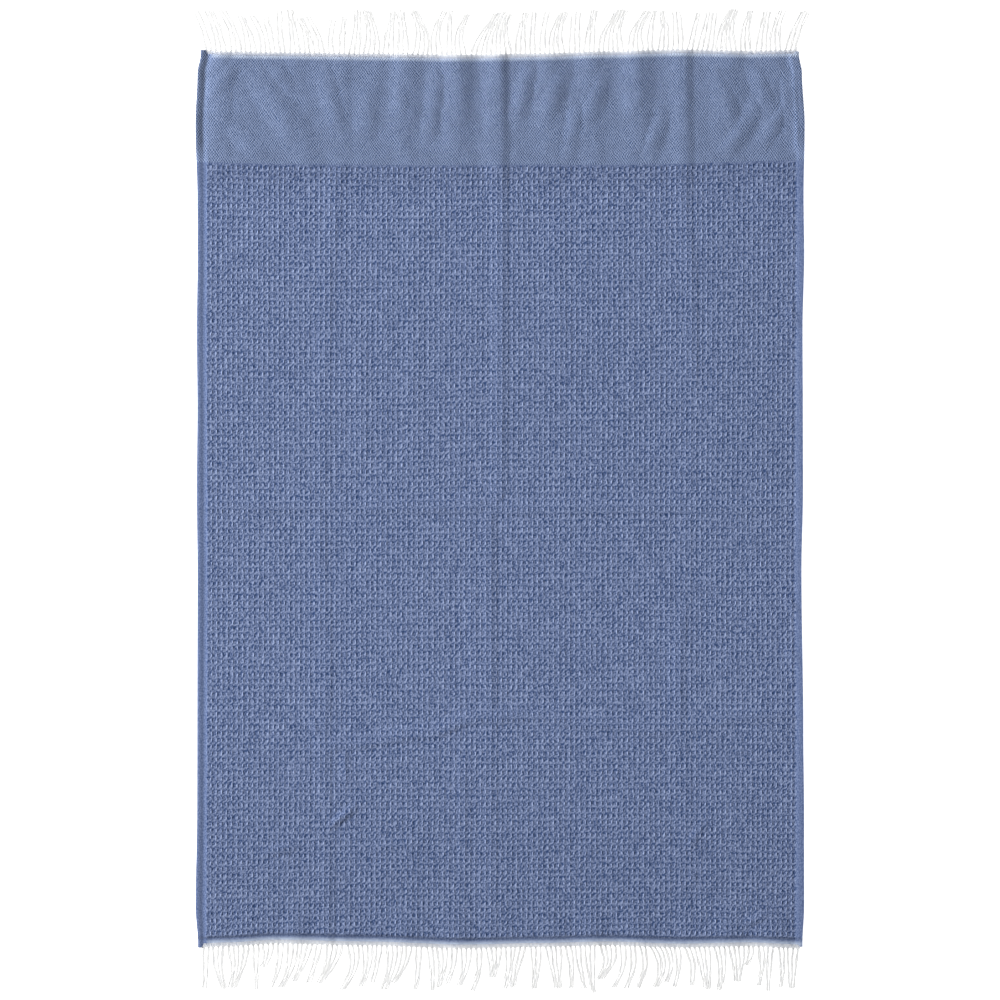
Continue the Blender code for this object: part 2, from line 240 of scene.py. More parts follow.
CROSS_CREASES = (
    (  # middle
        CreaseRow(-500, -12, 1.0),
        CreaseRow(-300, -13, 1.0),
        CreaseRow(-60, -14, 1.5),
        CreaseRow(-20, -14, 0.9),
        CreaseRow(20, -16, 1.4),
        CreaseRow(240, -15, 1.3),
        CreaseRow(330, -14, 0.6),
        CreaseRow(400, -14, 1.0),
        CreaseRow(500, -14, 0.6),
    ),
    (  # lower
        CreaseRow(-330, -414, 0.0),
        CreaseRow(-253, -404, 1.2),
        CreaseRow(-120, -386, 1.6),
        CreaseRow(-40, -362, 1.6),
        CreaseRow(60, -356, 1.1),
        CreaseRow(150, -370, 1.3),
        CreaseRow(260, -382, 1.1),
        CreaseRow(330, -370, 0.6),
        CreaseRow(400, -360, 1.0),
        CreaseRow(500, -352, 0.5),
    ),
)

RIPPLES = (
    Ripple(-459, 24, 1.8, 0.6),
    Ripple(-425, 30, 0.6, 1.0),
    Ripple(-338, 24, 0.4, 1.2),
    Ripple(-258, 13, 1.0, 0.4),
    Ripple(-157, 32, 2.4, 1.2),
    Ripple(-72, 34, 4.2, 1.6),
    Ripple(80, 36, 2.4, 0.8),
    Ripple(149, 32, 2.6, 1.4),
    Ripple(225, 34, 3.4, 1.0),
    Ripple(375, 34, 2.0, 1.2),
    Ripple(448, 40, 1.6, 1.8),
)

WRINKLES = (
    Wrinkle(250, 66, 314, 160, 36, 3.4),
    Wrinkle(264, 54, 296, 100, 22, 1.9),
    Wrinkle(228, 124, 270, 162, 24, 2.2),
    Wrinkle(212, 100, 236, 56, 26, 2.6),
    Wrinkle(322, 62, 342, 140, 24, 2.4),
    Wrinkle(372, 66, 362, 150, 24, 1.9),
    Wrinkle(406, 56, 398, 140, 26, 2.6),
    Wrinkle(440, 62, 428, 140, 22, 2.2),
    Wrinkle(532, 56, 516, 122, 22, 2.6),
    Wrinkle(560, 58, 544, 130, 28, 3.4),
    Wrinkle(580, 92, 566, 160, 20, 1.9),
    Wrinkle(602, 60, 586, 134, 26, 3.1),
    Wrinkle(644, 60, 632, 130, 26, 3.1),
    Wrinkle(664, 110, 646, 160, 22, 2.2),
    Wrinkle(712, 58, 736, 132, 26, 2.9),
    Wrinkle(720, 160, 762, 98, 24, 2.2),
    Wrinkle(752, 60, 776, 122, 24, 2.6),
    Wrinkle(758, 152, 790, 96, 22, 2.2),
    Wrinkle(782, 58, 792, 148, 20, 2.2),
    Wrinkle(326, 828, 356, 806, 11, 2.6),
    Wrinkle(344, 742, 345, 786, 10, 1.0),
    Wrinkle(462, 742, 463, 915, 14, 0.6),
    Wrinkle(258, 854, 300, 845, 12, 1.4),
    Wrinkle(372, 846, 420, 842, 12, 0.7),
    Wrinkle(686, 850, 703, 822, 12, 1.2),
    Wrinkle(690, 868, 694, 884, 10, 0.9),
    Wrinkle(742, 923, 770, 915, 12, 1.8),
    Wrinkle(312, 716, 318, 738, 10, 1.2),
    Wrinkle(360, 330, 362, 480, 20, 0.5),
    Wrinkle(412, 240, 414, 470, 22, 0.5),
    Wrinkle(556, 200, 560, 380, 24, 0.5),
    Wrinkle(474, 560, 476, 700, 18, 0.5),
    Wrinkle(650, 560, 700, 700, 26, 0.5),
    Wrinkle(788, 304, 796, 326, 12, 1.2),
    Wrinkle(786, 596, 797, 616, 12, 1.2),
    Wrinkle(786, 646, 797, 664, 12, 1.2),
)

TOP_TUFTS = (
    Tuft(2, -21.9, 4, 0.3, 3),
    Tuft(3, -20, 3, 0.4, 3),
    Tuft(3, -23, 3, 0.5, 6),
    Tuft(3, -16, 11, 0.6, 3),
    Tuft(2, -19, 11, 0.3, 6),
    Tuft(2, -12, 14, 0.1, 1),
    Tuft(2, -6, 3, 0.3, -1),
    Tuft(3, -8, 1, 0.8, 1),
    Tuft(3, -17, 14, 0.7, 4),
    Tuft(2, -23, 14, 0.5, 5),
    Tuft(2, 3, 18, 0.2, -4),
    Tuft(2, 5, 14, 0.4, -1),
    Tuft(3, 6, 2, 0.8, 2),
    Tuft(4, -8, 3, 0.8, 6),
    Tuft(3, 9, 4, 0.9, -2),
    Tuft(3, -4, 2, 0.6, 2),
    Tuft(4, -10, 3, 0.9, 8),
    Tuft(3, 12, 4, 0.8, -8),
    Tuft(2, 2, 3, 0.7, -1),
    Tuft(3, 10, 9, 0.9, -9),
    Tuft(9, 20, 5, 0.9, -6),
    Tuft(3, 8, 6, 0.8, -3),
    Tuft(2, 3, 4, 0.4, -2),
    Tuft(2, 8, 5, 0.4, -3),
    Tuft(4, 12, 5, 0.8, -8),
    Tuft(3, 3, 6, 0.3, -1),
    Tuft(3, 9, 2, 0.8, -2),
    Tuft(6, 18, 1, 0.9, -8),
    Tuft(4, 19, 4, 0.9, -8),
    Tuft(2, 8, 3, 0.8, -4),
    Tuft(3, 0, 3, 0.8, 3),
    Tuft(3, -2, 4, 0.4, 2),
    Tuft(2, 15, 6, 0.7, -1),
    Tuft(4, 12, 6, 0.5, 0),
    Tuft(5, 13, 0, 0.9, -7),
    Tuft(3, 7, 3, 0.9, -5),
    Tuft(3, 11, 4, 0.6, -2),
    Tuft(3, 11, 3, 0.6, -5),
    Tuft(3, 24.7, 4, 0.5, -4),
)

BOTTOM_TUFTS = (
    Tuft(2, -2, 7, 0.6, 0),
    Tuft(3, 9, 6, 0.9, -5),
    Tuft(5, -9, 7, 1.0, 4),
    Tuft(2, 1, 6, 0.8, 0),
    Tuft(3, -7, 42, 0.8, 3),
    Tuft(2, -13, 9, 0.8, 4),
    Tuft(3, -19, 8, 0.8, 6),
    Tuft(3, -22, 18, 0.9, 3),
    Tuft(2, -19, 16, 0.6, 1),
    Tuft(4, -25, 16, 0.9, 6),
    Tuft(3, -17, 5, 0.9, 11),
    Tuft(3, -10, 10, 0.9, 5),
    Tuft(2, -12, 16, 0.7, 2),
    Tuft(3, -14, 5, 0.8, 6),
    Tuft(3, -22, 16, 0.9, 6),
    Tuft(2, -6, 6, 0.7, 1),
    Tuft(2, 5, 4, 0.9, 3),
    Tuft(3, -4, 9, 0.9, 4),
    Tuft(2, -12, 14, 0.8, 5),
    Tuft(3, -11, 11, 0.9, 4),
    Tuft(2, -9, 3, 0.9, 5),
    Tuft(4, -3, 25, 0.9, 3),
    Tuft(2, -6, 6, 0.8, 3),
    Tuft(3, -15, 8, 0.9, 0),
    Tuft(3, -3, 6, 0.9, 2),
    Tuft(4, 9, 7, 0.9, 0),
    Tuft(2, 6, 8, 0.8, 3),
    Tuft(2, 12, 7, 0.8, -2),
    Tuft(3, 6, 0, 0.9, -2),
    Tuft(4, -12, 22, 0.9, 9),
    Tuft(2, -14, 8, 0.7, 8),
    Tuft(2, -9, 8, 0.7, 6),
    Tuft(2, -7, 8, 0.8, 8),
    Tuft(3, 2, 9, 0.9, 11),
    Tuft(2, -1, 18, 0.9, 8),
    Tuft(2, -4, 9, 0.8, 5),
    Tuft(2, 8, 12, 0.6, 6),
    Tuft(4, 10, 6, 0.9, 1),
    Tuft(3, 1, 4, 0.9, 5),
    Tuft(4, 2, 18, 0.9, 2),
    Tuft(2, -8, 45, 0.8, 3),
    Tuft(2, -3, 12, 0.8, 3),
    Tuft(2, -4, 3, 0.8, -1),
    Tuft(2, 0, 10, 0.9, 3),
    Tuft(3, -2, 7, 0.8, -1),
)


# Where the weave really runs, against an even lattice. Each row is a place along the towel, each
# column one of ten places evenly across the field. A value is millimetres to the left, or up.
COLUMN_DRIFT = (
    (0.3, 0.9, 1.7, 1.6, -0.6, 1.5, -1.8, -3.7, -2.9, 1.0),  # band foot
    (0.8, 1.2, 2.3, 2.3, 0.5, -0.1, -1.8, -3.6, -2.4, 1.8),
    (-0.4, -0.2, 1.9, 3.2, 1.8, 1.2, -0.3, -1.9, -0.6, 3.2),
    (0.2, 0.3, 1.9, 3.4, 1.3, 1.3, -0.6, -2.5, -0.7, 1.8),
    (1.4, 2.5, 3.9, 4.2, 2.8, 1.9, -0.4, -2.4, -0.4, 2.5),  # bottom end
)
ROW_DRIFT = (
    (4.6, 2.3, 1.1, 0.2, 0.2, 1.0, 0.6, 2.0, 5.6, 8.0),  # band foot
    (5.6, 3.2, 2.2, 2.0, 1.9, 2.8, 3.2, 5.6, 7.7, 10.7),
    (5.0, 2.7, 2.0, 2.2, 4.0, 5.8, 5.3, 6.6, 8.3, 11.6),
    (2.2, 0.6, 0.5, 1.4, 5.0, 6.3, 7.2, 8.7, 9.3, 11.8),
    (-2.7, -3.0, -2.3, -1.2, -0.4, -0.6, 0.0, -0.1, -3.1, -2.1),
    (-4.7, -4.8, -4.7, -1.6, -1.2, -1.6, 0.9, 2.6, -2.8, -1.4),
    (-7.2, -7.0, -6.9, -5.6, -7.1, -8.4, -8.0, -7.2, -7.4, -7.2),
    (-8.4, -7.5, -6.6, -5.7, -5.9, -5.0, -4.1, -4.1, -6.6, -6.7),
    (-8.5, -4.4, -3.8, 0.0, -0.3, 0.7, 3.0, 4.5, 2.0, 1.5),  # bottom end
)


def smooth(share: Array) -> Array:
    """0 below 0, 1 above 1, and a soft step between."""
    share = np.clip(share, 0.0, 1.0)
    return share * share * (3.0 - 2.0 * share)


def bump(offset: Array) -> Array:
    """A soft ridge: 1 in its middle, and 0 from an offset of 1 on."""
    return np.clip(1.0 - offset * offset, 0.0, 1.0) ** 2


def swell(share: Array) -> Array:
    """A raised cosine: 0 at 0 and 1, and 1 half way between."""
    return 0.5 - 0.5 * np.cos(2.0 * np.pi * share)


def from_photo(px: float, py: float) -> tuple[float, float]:
    """Where a photograph pixel lies on the surface under the towel."""
    return (px - PHOTO_CENTRE[0]) * PIXEL, (PHOTO_CENTRE[1] - py) * PIXEL


@dataclass(frozen=True)
class SoftCurve:
    """A soft curve through a table's places and values, both in millimetres.

    Between two rows the value goes over by the soft step, and beyond the table it stays level.
    """

    places: tuple[float, ...]
    values: tuple[float, ...]

    def __call__(self, place: Array) -> Array:
        """The curve's value in metres.

        Args:
            place: where to read the curve, in metres.

        Returns:
            The value at each place, in metres.
        """
        knots = np.array(self.places) * MM
        values = np.array(self.values) * MM
        place = np.clip(place, knots[0], knots[-1])
        first = np.clip(np.searchsorted(knots, place) - 1, 0, len(knots) - 2)
        share = (place - knots[first]) / (knots[first + 1] - knots[first])
        return values[first] + (values[first + 1] - values[first]) * smooth(share)


def curve_of(rows: Sequence[NamedTuple], place: str, value: str) -> SoftCurve:
    """The soft curve through two named columns of a table.

    Args:
        rows: the table.
        place: the name of the column that holds the places.
        value: the name of the column that holds the values.

    Returns:
        The curve through them.
    """
    return SoftCurve(
        tuple(getattr(row, place) for row in rows), tuple(getattr(row, value) for row in rows)
    )


@dataclass(frozen=True)
class Waves:
    """A soft random surface: plane waves of about one length, in random directions, added up."""

    seed: int
    length: float
    count: int = 20
    stretch: float = 1.0  # how much longer the waves are along the towel

    def __call__(self, x: Array, y: Array) -> Array:
        """Heights of the surface, mostly from -1 to 1.

        Args:
            x: places across the towel.
            y: places along it.

        Returns:
            The sum of cos(k . p + phase) over the waves, divided so that it spreads by about 0.5.
        """
        draw = np.random.default_rng(self.seed)
        total = np.zeros(np.broadcast(x, y).shape)
        for _ in range(self.count):
            angle = draw.uniform(0.0, 2.0 * np.pi)
            turn = 2.0 * np.pi / (self.length * draw.uniform(0.7, 1.5))
            phase = draw.uniform(0.0, 2.0 * np.pi)
            across = turn * np.cos(angle)
            along = turn * np.sin(angle) / self.stretch
            total += np.cos(across * x + along * y + phase)
        return total * 0.7 / np.sqrt(self.count)


@dataclass(frozen=True)
class DriftTable:
    """A soft surface through a small table of millimetres, its rows and columns evenly spaced."""

    rows: tuple[tuple[float, ...], ...]

    @staticmethod
    def weights(share: Array) -> Array:
        """The four weights of a cubic curve through evenly spaced points, on a last axis."""
        s = share[..., None]
        return np.concatenate(
            (
                0.5 * (-s + 2.0 * s**2 - s**3),
                0.5 * (2.0 - 5.0 * s**2 + 3.0 * s**3),
                0.5 * (s + 4.0 * s**2 - 3.0 * s**3),
                0.5 * (-(s**2) + s**3),
            ),
            axis=-1,
        )

    def __call__(self, across: Array, along: Array) -> Array:
        """The table's surface in metres.

        Args:
            across: share of the way from the first column to the last.
            along: share of the way from the first row to the last.

        Returns:
            The cubic surface through the table's values at each place.
        """
        values = np.array(self.rows) * MM
        most = (values.shape[0] - 1, values.shape[1] - 1)
        place = (np.clip(along, 0.0, 1.0) * most[0], np.clip(across, 0.0, 1.0) * most[1])
        first = [np.minimum(np.floor(p).astype(int), m - 1) for p, m in zip(place, most)]
        share = [self.weights(p - f) for p, f in zip(place, first)]
        total = np.zeros(np.broadcast(across, along).shape)
        for j in range(4):
            row = np.clip(first[0] + j - 1, 0, most[0])
            for i in range(4):
                column = np.clip(first[1] + i - 1, 0, most[1])
                total = total + values[row, column] * share[0][..., j] * share[1][..., i]
        return total


class Shell:
    """Collects the points, faces and values of one closed piece, and makes its object."""

    def __init__(self) -> None:
        """Starts with nothing in it."""
        self.count = 0
        self.points: list[Array] = []
        self.faces: list[Array] = []
        self.normals: list[Array] = []
        self.places: list[Array] = []
        self.values: dict[str, list[Array]] = {}

    def add_points(self, points: Array, **values: Array) -> int:
        """Adds points with their values for the finish.

        Args:
            points: positions, with x, y and z on the last axis.
            values: for each name, a value for each point.

        Returns:
            The number of the first point added.
        """
        flat = points.reshape(-1, 3)
        self.points.append(flat)
        for name, value in values.items():
            self.values.setdefault(name, []).append(np.broadcast_to(value, points.shape[:-1]).ravel())
        start = self.count
        self.count += len(flat)
        return start

    def add_faces(self, faces: Array, normals: Array | None, places: Array) -> None:
        """Adds faces of one number of corners.

        Args:
            faces: point numbers, a face in each row.
            normals: a normal for each corner, or None where a face is flat.
            places: where each corner lies on the finish's own map, from 0 to 1.
        """
        if normals is None:
            points = np.concatenate(self.points)[faces]
            flat = np.cross(points[:, 2] - points[:, 0], points[:, -1] - points[:, 1])
            flat /= np.maximum(np.linalg.norm(flat, axis=1, keepdims=True), 1e-12)
            normals = np.repeat(flat[:, None, :], faces.shape[1], axis=1)
        self.faces.append(faces)
        self.normals.append(normals.reshape(-1, 3))
        self.places.append(places.reshape(-1, 2))

    def make(self, name: str, material: bpy.types.Material) -> bpy.types.Object:
        """Makes the piece's object.

        Args:
            name: the piece's name.
            material: its finish.

        Returns:
            The object, at the origin.
        """
        mesh = bpy.data.meshes.new(name)
        faces = [face for group in self.faces for face in group.tolist()]
        mesh.from_pydata(np.concatenate(self.points).tolist(), [], faces)
        mesh.polygons.foreach_set("use_smooth", np.ones(len(faces), dtype=bool))
        for key, values in self.values.items():
            layer = mesh.attributes.new(key, "FLOAT", "POINT")
            layer.data.foreach_set("value", np.concatenate(values).astype(np.float32))
        bake = mesh.uv_layers.new(name="OFBake")
        bake.uv.foreach_set("vector", np.concatenate(self.places).astype(np.float32).ravel())
        mesh.normals_split_custom_set(np.concatenate(self.normals).tolist())
        mesh.materials.append(material)
        piece = bpy.data.objects.new(name, mesh)
        bpy.context.scene.collection.objects.link(piece)
        triangles = sum(len(group) * (group.shape[1] - 2) for group in self.faces)
        LOG.info("%s: %d points, %d triangles", name, self.count, triangles)
        return piece


def quads(rows: int, columns: int) -> Array:
    """Corner numbers of a grid's faces, top left, bottom left, bottom right, top right.

    Args:
        rows: rows of points, from the top down.
        columns: points in a row, from the left.

    Returns:
        Four point numbers for each face, row by row.
    """
    number = np.arange(rows * columns).reshape(rows, columns)
    corners = (number[:-1, :-1], number[1:, :-1], number[1:, 1:], number[:-1, 1:])
    return np.stack(corners, axis=-1).reshape(-1, 4)


def wall_faces(front: Array, back: Array, step: int) -> Array:
    """Corner numbers of a wall between a front edge and a back edge with fewer points.

    Args:
        front: point numbers along the front's edge, left to right as the wall is looked at.
        back: point numbers along the back's edge, the same way.
        step: front faces to each back face.

    Returns:
        A face with step + 3 corners for each back face.
    """
    left, right = back[:-1, None], back[1:, None]
    above = np.stack([front[k : k + len(front) - step : step] for k in range(step, -1, -1)], axis=-1)
    return np.concatenate((left, right, above), axis=1)


def rims(front: Array, back: Array) -> tuple[tuple[Array, Array], ...]:
    """The four edges of a grid, each with the same edge of the grid behind it.

    Args:
        front: point numbers of the upper grid, in rows.
        back: point numbers of the grid behind it.

    Returns:
        The left, right, upper and lower edges, in the order in which wall_faces takes them.
    """
    return (
        (front[:, 0], back[:, 0]),
        (front[::-1, -1], back[::-1, -1]),
        (front[0, ::-1], back[0, ::-1]),
        (front[-1], back[-1]),
    )


def map_places(rows: int, columns: int, high: float, low: float) -> Array:
    """Places of a grid's points on the finish's own map.

    Args:
        rows: rows of points.
        columns: points in a row.
        high: where the first row lies on the map.
        low: where the last row lies.

    Returns:
        Two numbers from 0 to 1 for each point, row by row.
    """
    across = np.linspace(MAP_EDGE, 1.0 - MAP_EDGE, columns)
    return np.stack(np.meshgrid(across, np.linspace(high, low, rows)), axis=-1).reshape(-1, 2)


class Cloth:
    """The woven sheet: its outline, its folds, its weave and its thickness.

    A point on it is named by two numbers. Across, 0 to 114 counts the waffle's columns, -1 to 0 is
    the left selvedge and 114 to 115 the right one. Along, 0 to 121 counts its rows from the band's
    foot down, -1 to 0 is the twill band and 121 to 122 the plain rows at the bottom end.
    """

    pitch_across = 8.5635 * MM
    pitch_along = 10.6095 * MM
    first_column = -482.9 * MM  # x of the first pit's shaded side in an even lattice
    first_row = 547.95 * MM  # y of the first pit in an even lattice
    pit_from_shade = 0.15  # how far a pit's middle lies right of its shaded side, in columns
    last_pits = 8.0 * MM  # how far from the bottom end the last pits stop
    pits_fade = 3.5 * MM
    side_fade = 0.25  # columns or rows over which the waffle begins
    last_squeeze = 6.5 * MM  # nearer to the end than this, the weave is drawn in
    pinched_columns = 12.0  # columns at each side that follow the outline beside the band
    left_tip = 7.0 * MM  # how far the selvedges run on past the cloth's ends
    right_tip = 4.0 * MM

    field_thickness = 2.4 * MM
    plain_thickness = 1.4 * MM
    edge_thickness = 0.8 * MM
    edge_round = 2.5 * MM  # how far in from the side the edge's roundness reaches
    pit_depth = 0.75 * MM
    back_depth = 0.5 * MM

    # The waffle cell, in cells: where the ridge and the rung stand, and their half widths.
    ridge_at = 0.05
    ridge_half = 0.38
    rung_at = 0.12
    rung_half = 0.5
    rung_fill = 0.85  # how much of a pit a rung fills
    ridge_waist = 0.6  # a ridge's height between two rungs
    lean_sway = 0.3  # how far the ridges of a whole patch lean
    depth_sway = 0.2  # how much the pits of a whole patch differ in depth
    sway_size = 0.35 * MM
    slack_height = 0.25 * MM
    crease_gentle = 1.45  # how wide a crease's lit flank is, in half widths, and its shaded one
    crease_steep = 0.75

    crease_half_width = 17 * MM
    crease_spread = 490 * MM  # the creases grow broader above this Y
    crease_spread_over = 68 * MM
    crease_spread_share = 0.4
    ripple_top_reach = 240 * MM
    ripple_bottom_reach = 95 * MM
    wrinkle_fade = 1.35  # half lengths from a wrinkle's middle at which it ends

    band_fade = 0.2  # rows over which the painted light and shade beside the band begin
    foot_shade = 0.07  # how much darker the first rows are, and how many they are
    foot_first_rows = 1.5
    foot_rows = 4.0
    low_shade = 0.06  # how much darker the last rows are, and where that begins
    low_from_row = 80.0
    low_over_rows = 40.0

    def __init__(self) -> None:
        """Reads the tables into curves and draws each pit's own small differences."""
        self.left_edge = curve_of(SIDES, "y", "left")
        self.right_edge = curve_of(SIDES, "y", "right")
        self.top_edge = curve_of(ENDS, "x", "top")
        self.bottom_edge = curve_of(ENDS, "x", "bottom")
        self.column_drift = DriftTable(COLUMN_DRIFT)
        self.row_drift = DriftTable(ROW_DRIFT)
        draw = np.random.default_rng(11)
        shape = (WEAVE_ROWS + 2, WEAVE_COLUMNS + 2)
        self.pit_share = np.clip(draw.normal(0.9, 0.08, shape), 0.5, 1.1)
        self.ridge_lean = draw.normal(0.0, 0.12, shape)
        self.ridge_side = draw.normal(0.0, 0.03, shape)
        self.depth_waves = Waves(21, 70 * MM)
        self.lean_waves = Waves(22, 95 * MM)
        self.sway = (Waves(23, 34 * MM), Waves(24, 30 * MM))
        self.slack = Waves(25, 120 * MM)

    def lattice(self, across: Array, along: Array) -> tuple[Array, Array]:
        """Where the waffle's columns and rows cross.

        Args:
            across: columns from the field's left side.
            along: rows from the band's foot.

        Returns:
            x and y: the even lattice plus the drift tables and a small sway.
        """
        column = across - 0.5 + self.pit_from_shade
        row = along - 0.5
        share_across = column / (WEAVE_COLUMNS - 1)
        share_along = row / (WEAVE_ROWS - 3)
        x = self.first_column + self.pitch_across * column
        y = self.first_row - self.pitch_along * row
        sway_x, sway_y = (waves(x, y) for waves in self.sway)
        x = x - self.column_drift(share_across, share_along) + self.sway_size * sway_x
        y = y + self.row_drift(share_across, share_along) + self.sway_size * sway_y
        return x, y

    def plan(self, across: Array, along: Array) -> tuple[Array, Array]:
        """Where a point of the sheet lies on the surface, seen from above.

        Args:
            across: place across the sheet, from -1 to 115.
            along: place along it, from -1 to 122.

        Returns:
            x and y: the lattice inside the field, and straight runs from it to the outline, which
            the selvedges overrun a little at both ends.
        """
        inner = np.clip(across, 0.0, WEAVE_COLUMNS)
        x, y = self.lattice(inner, np.clip(along, 0.0, WEAVE_ROWS))
        tip = self.left_tip * smooth(-across / self.side_fade - 1.0)
        tip = tip + self.right_tip * smooth((across - WEAVE_COLUMNS) / self.side_fade - 1.0)
        end = self.bottom_edge(x)
        foot = y = end + self.squeezed(y - end)
        y = y + (self.top_edge(x) + tip - y) * np.clip(-along, 0.0, 1.0)
        y = y + (end - tip - y) * np.clip(along - WEAVE_ROWS, 0.0, 1.0)
        beside_band = np.clip(-along / self.side_fade, 0.0, 1.0)
        for edge, inside in ((self.left_edge, inner), (self.right_edge, WEAVE_COLUMNS - inner)):
            near = smooth(1.0 - inside / self.pinched_columns) * beside_band
            x = x + (edge(y) - edge(foot)) * near
        x = x + (self.left_edge(y) - x) * np.clip(-across, 0.0, 1.0)
        x = x + (self.right_edge(y) - x) * np.clip(across - WEAVE_COLUMNS, 0.0, 1.0)
        return x, y

    def squeezed(self, height: Array) -> Array:
        """Heights above the bottom end, the lowest drawn in so that all stay above it."""
        low = self.last_squeeze * np.exp(height / self.last_squeeze - 1.0)
        return np.where(height < self.last_squeeze, low, height)

    def lift(self, x: Array, y: Array) -> Array:
        """How high the underside stands off the surface.

        Args:
            x: places across the towel.
            y: places along it.

        Returns:
            The highest of the creases' ridges, the ripples' and the wrinkles' at each place.
        """
        height = np.zeros(np.broadcast(x, y).shape)
        spread = smooth((y - self.crease_spread) / self.crease_spread_over)
        broader = 1.0 + self.crease_spread_share * spread
        for rows, along, across in (
            *((rows, y, x) for rows in LONG_CREASES),
            *((rows, x, y) for rows in CROSS_CREASES),
        ):
            offset = (across - curve_of(rows, "along", "across")(along)) / self.crease_half_width
            offset = offset / broader
            shaded = (offset > 0.0) == (across is x)
            offset = offset / np.where(shaded, self.crease_steep, self.crease_gentle)
            height = np.maximum(height, curve_of(rows, "along", "height")(along) * bump(offset))
        from_top = 1.0 - smooth((self.top_edge(x) - y) / self.ripple_top_reach)
        from_bottom = 1.0 - smooth((y - self.bottom_edge(x)) / self.ripple_bottom_reach)
        for ripple in RIPPLES:
            shape = bump((x - ripple.x * MM) / (ripple.half_width * MM))
            rise = ripple.top_height * from_top + ripple.bottom_height * from_bottom
            height = np.maximum(height, rise * MM * shape)
        for wrinkle in WRINKLES:
            height = np.maximum(height, self.wrinkle_height(wrinkle, x, y))
        return height + self.slack_height * np.clip(self.slack(x, y), 0.0, None)

    def wrinkle_height(self, wrinkle: Wrinkle, x: Array, y: Array) -> Array:
        """A ridge along a short line: a soft bump over the distance to it, fading at its ends.

        Args:
            wrinkle: the ridge.
            x: places across the towel.
            y: places along it.

        Returns:
            The ridge's height at each place.
        """
        start = np.array(from_photo(wrinkle.start_px, wrinkle.start_py))
        end = np.array(from_photo(wrinkle.end_px, wrinkle.end_py))
        length = float(np.linalg.norm(end - start))
        way = (end - start) / length
        along = (x - start[0]) * way[0] + (y - start[1]) * way[1]
        aside = (x - start[0]) * way[1] - (y - start[1]) * way[0]
        fade = (2.0 * along / length - 1.0) / self.wrinkle_fade
        return wrinkle.height * MM * bump(aside / (wrinkle.half_width * MM)) * bump(fade)

    def pit(self, across: Array, along: Array) -> Array:
        """How deep into its waffle pit a point lies, from 0 on the ridges to about 1.

        Args:
            across: place across the sheet.
            along: place along it.

        Returns:
            (1 - ridge)(1 - rung_fill rung): a ridge is a soft bump across the nearest line of warp
            floats, each with its own lean, and a rung one along the nearest line of weft floats.
            Each pit has its own depth.
        """
        a = np.clip(across, 0.0, WEAVE_COLUMNS) - self.ridge_at
        b = np.clip(along, 0.0, WEAVE_ROWS) - self.rung_at
        column = np.floor(a + 0.5).astype(int)
        aside = a - column
        row = np.floor(b).astype(int)
        below = b - row
        x, y = self.lattice(column + 0.5, row + 0.5)
        sway = self.lean_sway * np.clip(self.lean_waves(x, y), -0.3, 1.0)
        lean = self.ridge_lean[row + 1, column] + sway
        aside = aside + self.ridge_side[row + 1, column] + lean * (below - 0.5)
        waist = self.ridge_waist + (1.0 - self.ridge_waist) * swell(below)
        ridge = bump(aside / self.ridge_half) * waist
        rung = bump(np.minimum(below, 1.0 - below) / self.rung_half)
        pit_column = np.floor(a).astype(int) + 1
        share = self.pit_share[row + 1, pit_column]
        share = share * (0.95 + self.depth_sway * self.depth_waves(x, y))
        return share * (1.0 - ridge) * (1.0 - self.rung_fill * rung) * self.in_field(across, along)

    def in_field(self, across: Array, along: Array) -> Array:
        """1 inside the waffle field, and 0 in the plain weave around it."""
        inside = np.minimum(np.minimum(across, WEAVE_COLUMNS - across), along)
        below = smooth((self.from_end(across, along) - self.last_pits) / self.pits_fade)
        return smooth(inside / self.side_fade) * below

    def from_end(self, across: Array, along: Array) -> Array:
        """How far a point lies from the nearer fringed end, in metres."""
        x, y = self.plan(across, along)
        return np.minimum(self.top_edge(x) - y, y - self.bottom_edge(x))

    def top(self, across: Array, along: Array) -> Array:
        """The sheet's upper side.

        Args:
            across: place across the sheet.
            along: place along it.

        Returns:
            Points: the underside's lift, plus the thickness, less the waffle's pits.
        """
        x, y = self.plan(across, along)
        from_side = np.minimum(x - self.left_edge(y), self.right_edge(y) - x)
        thickness = self.edge_thickness
        rounded = smooth(from_side / self.edge_round)
        thickness = thickness + (self.plain_thickness - thickness) * rounded
        inside = self.in_field(across, along)
        thickness = thickness + (self.field_thickness - thickness) * inside
        z = self.lift(x, y) + thickness - self.pit_depth * self.pit(across, along)
        return np.stack((x, y, z), axis=-1)

    def under(self, across: Array, along: Array) -> Array:
        """The sheet's underside: its lift, with shallow pits under the ridges' crossings."""
        x, y = self.plan(across, along)
        dimple = swell(across + 0.5) * swell(along + 0.5) * self.in_field(across, along)
        return np.stack((x, y, self.lift(x, y) + self.back_depth * dimple), axis=-1)

    def normals(self, across: Array, along: Array) -> Array:
        """The upper side's normals, from its slopes a fiftieth of a cell to either side."""
        step = 0.02
        right = self.top(across + step, along) - self.top(across - step, along)
        down = self.top(across, along + step) - self.top(across, along - step)
        normal = np.cross(down, right)
        return normal / np.linalg.norm(normal, axis=-1, keepdims=True)

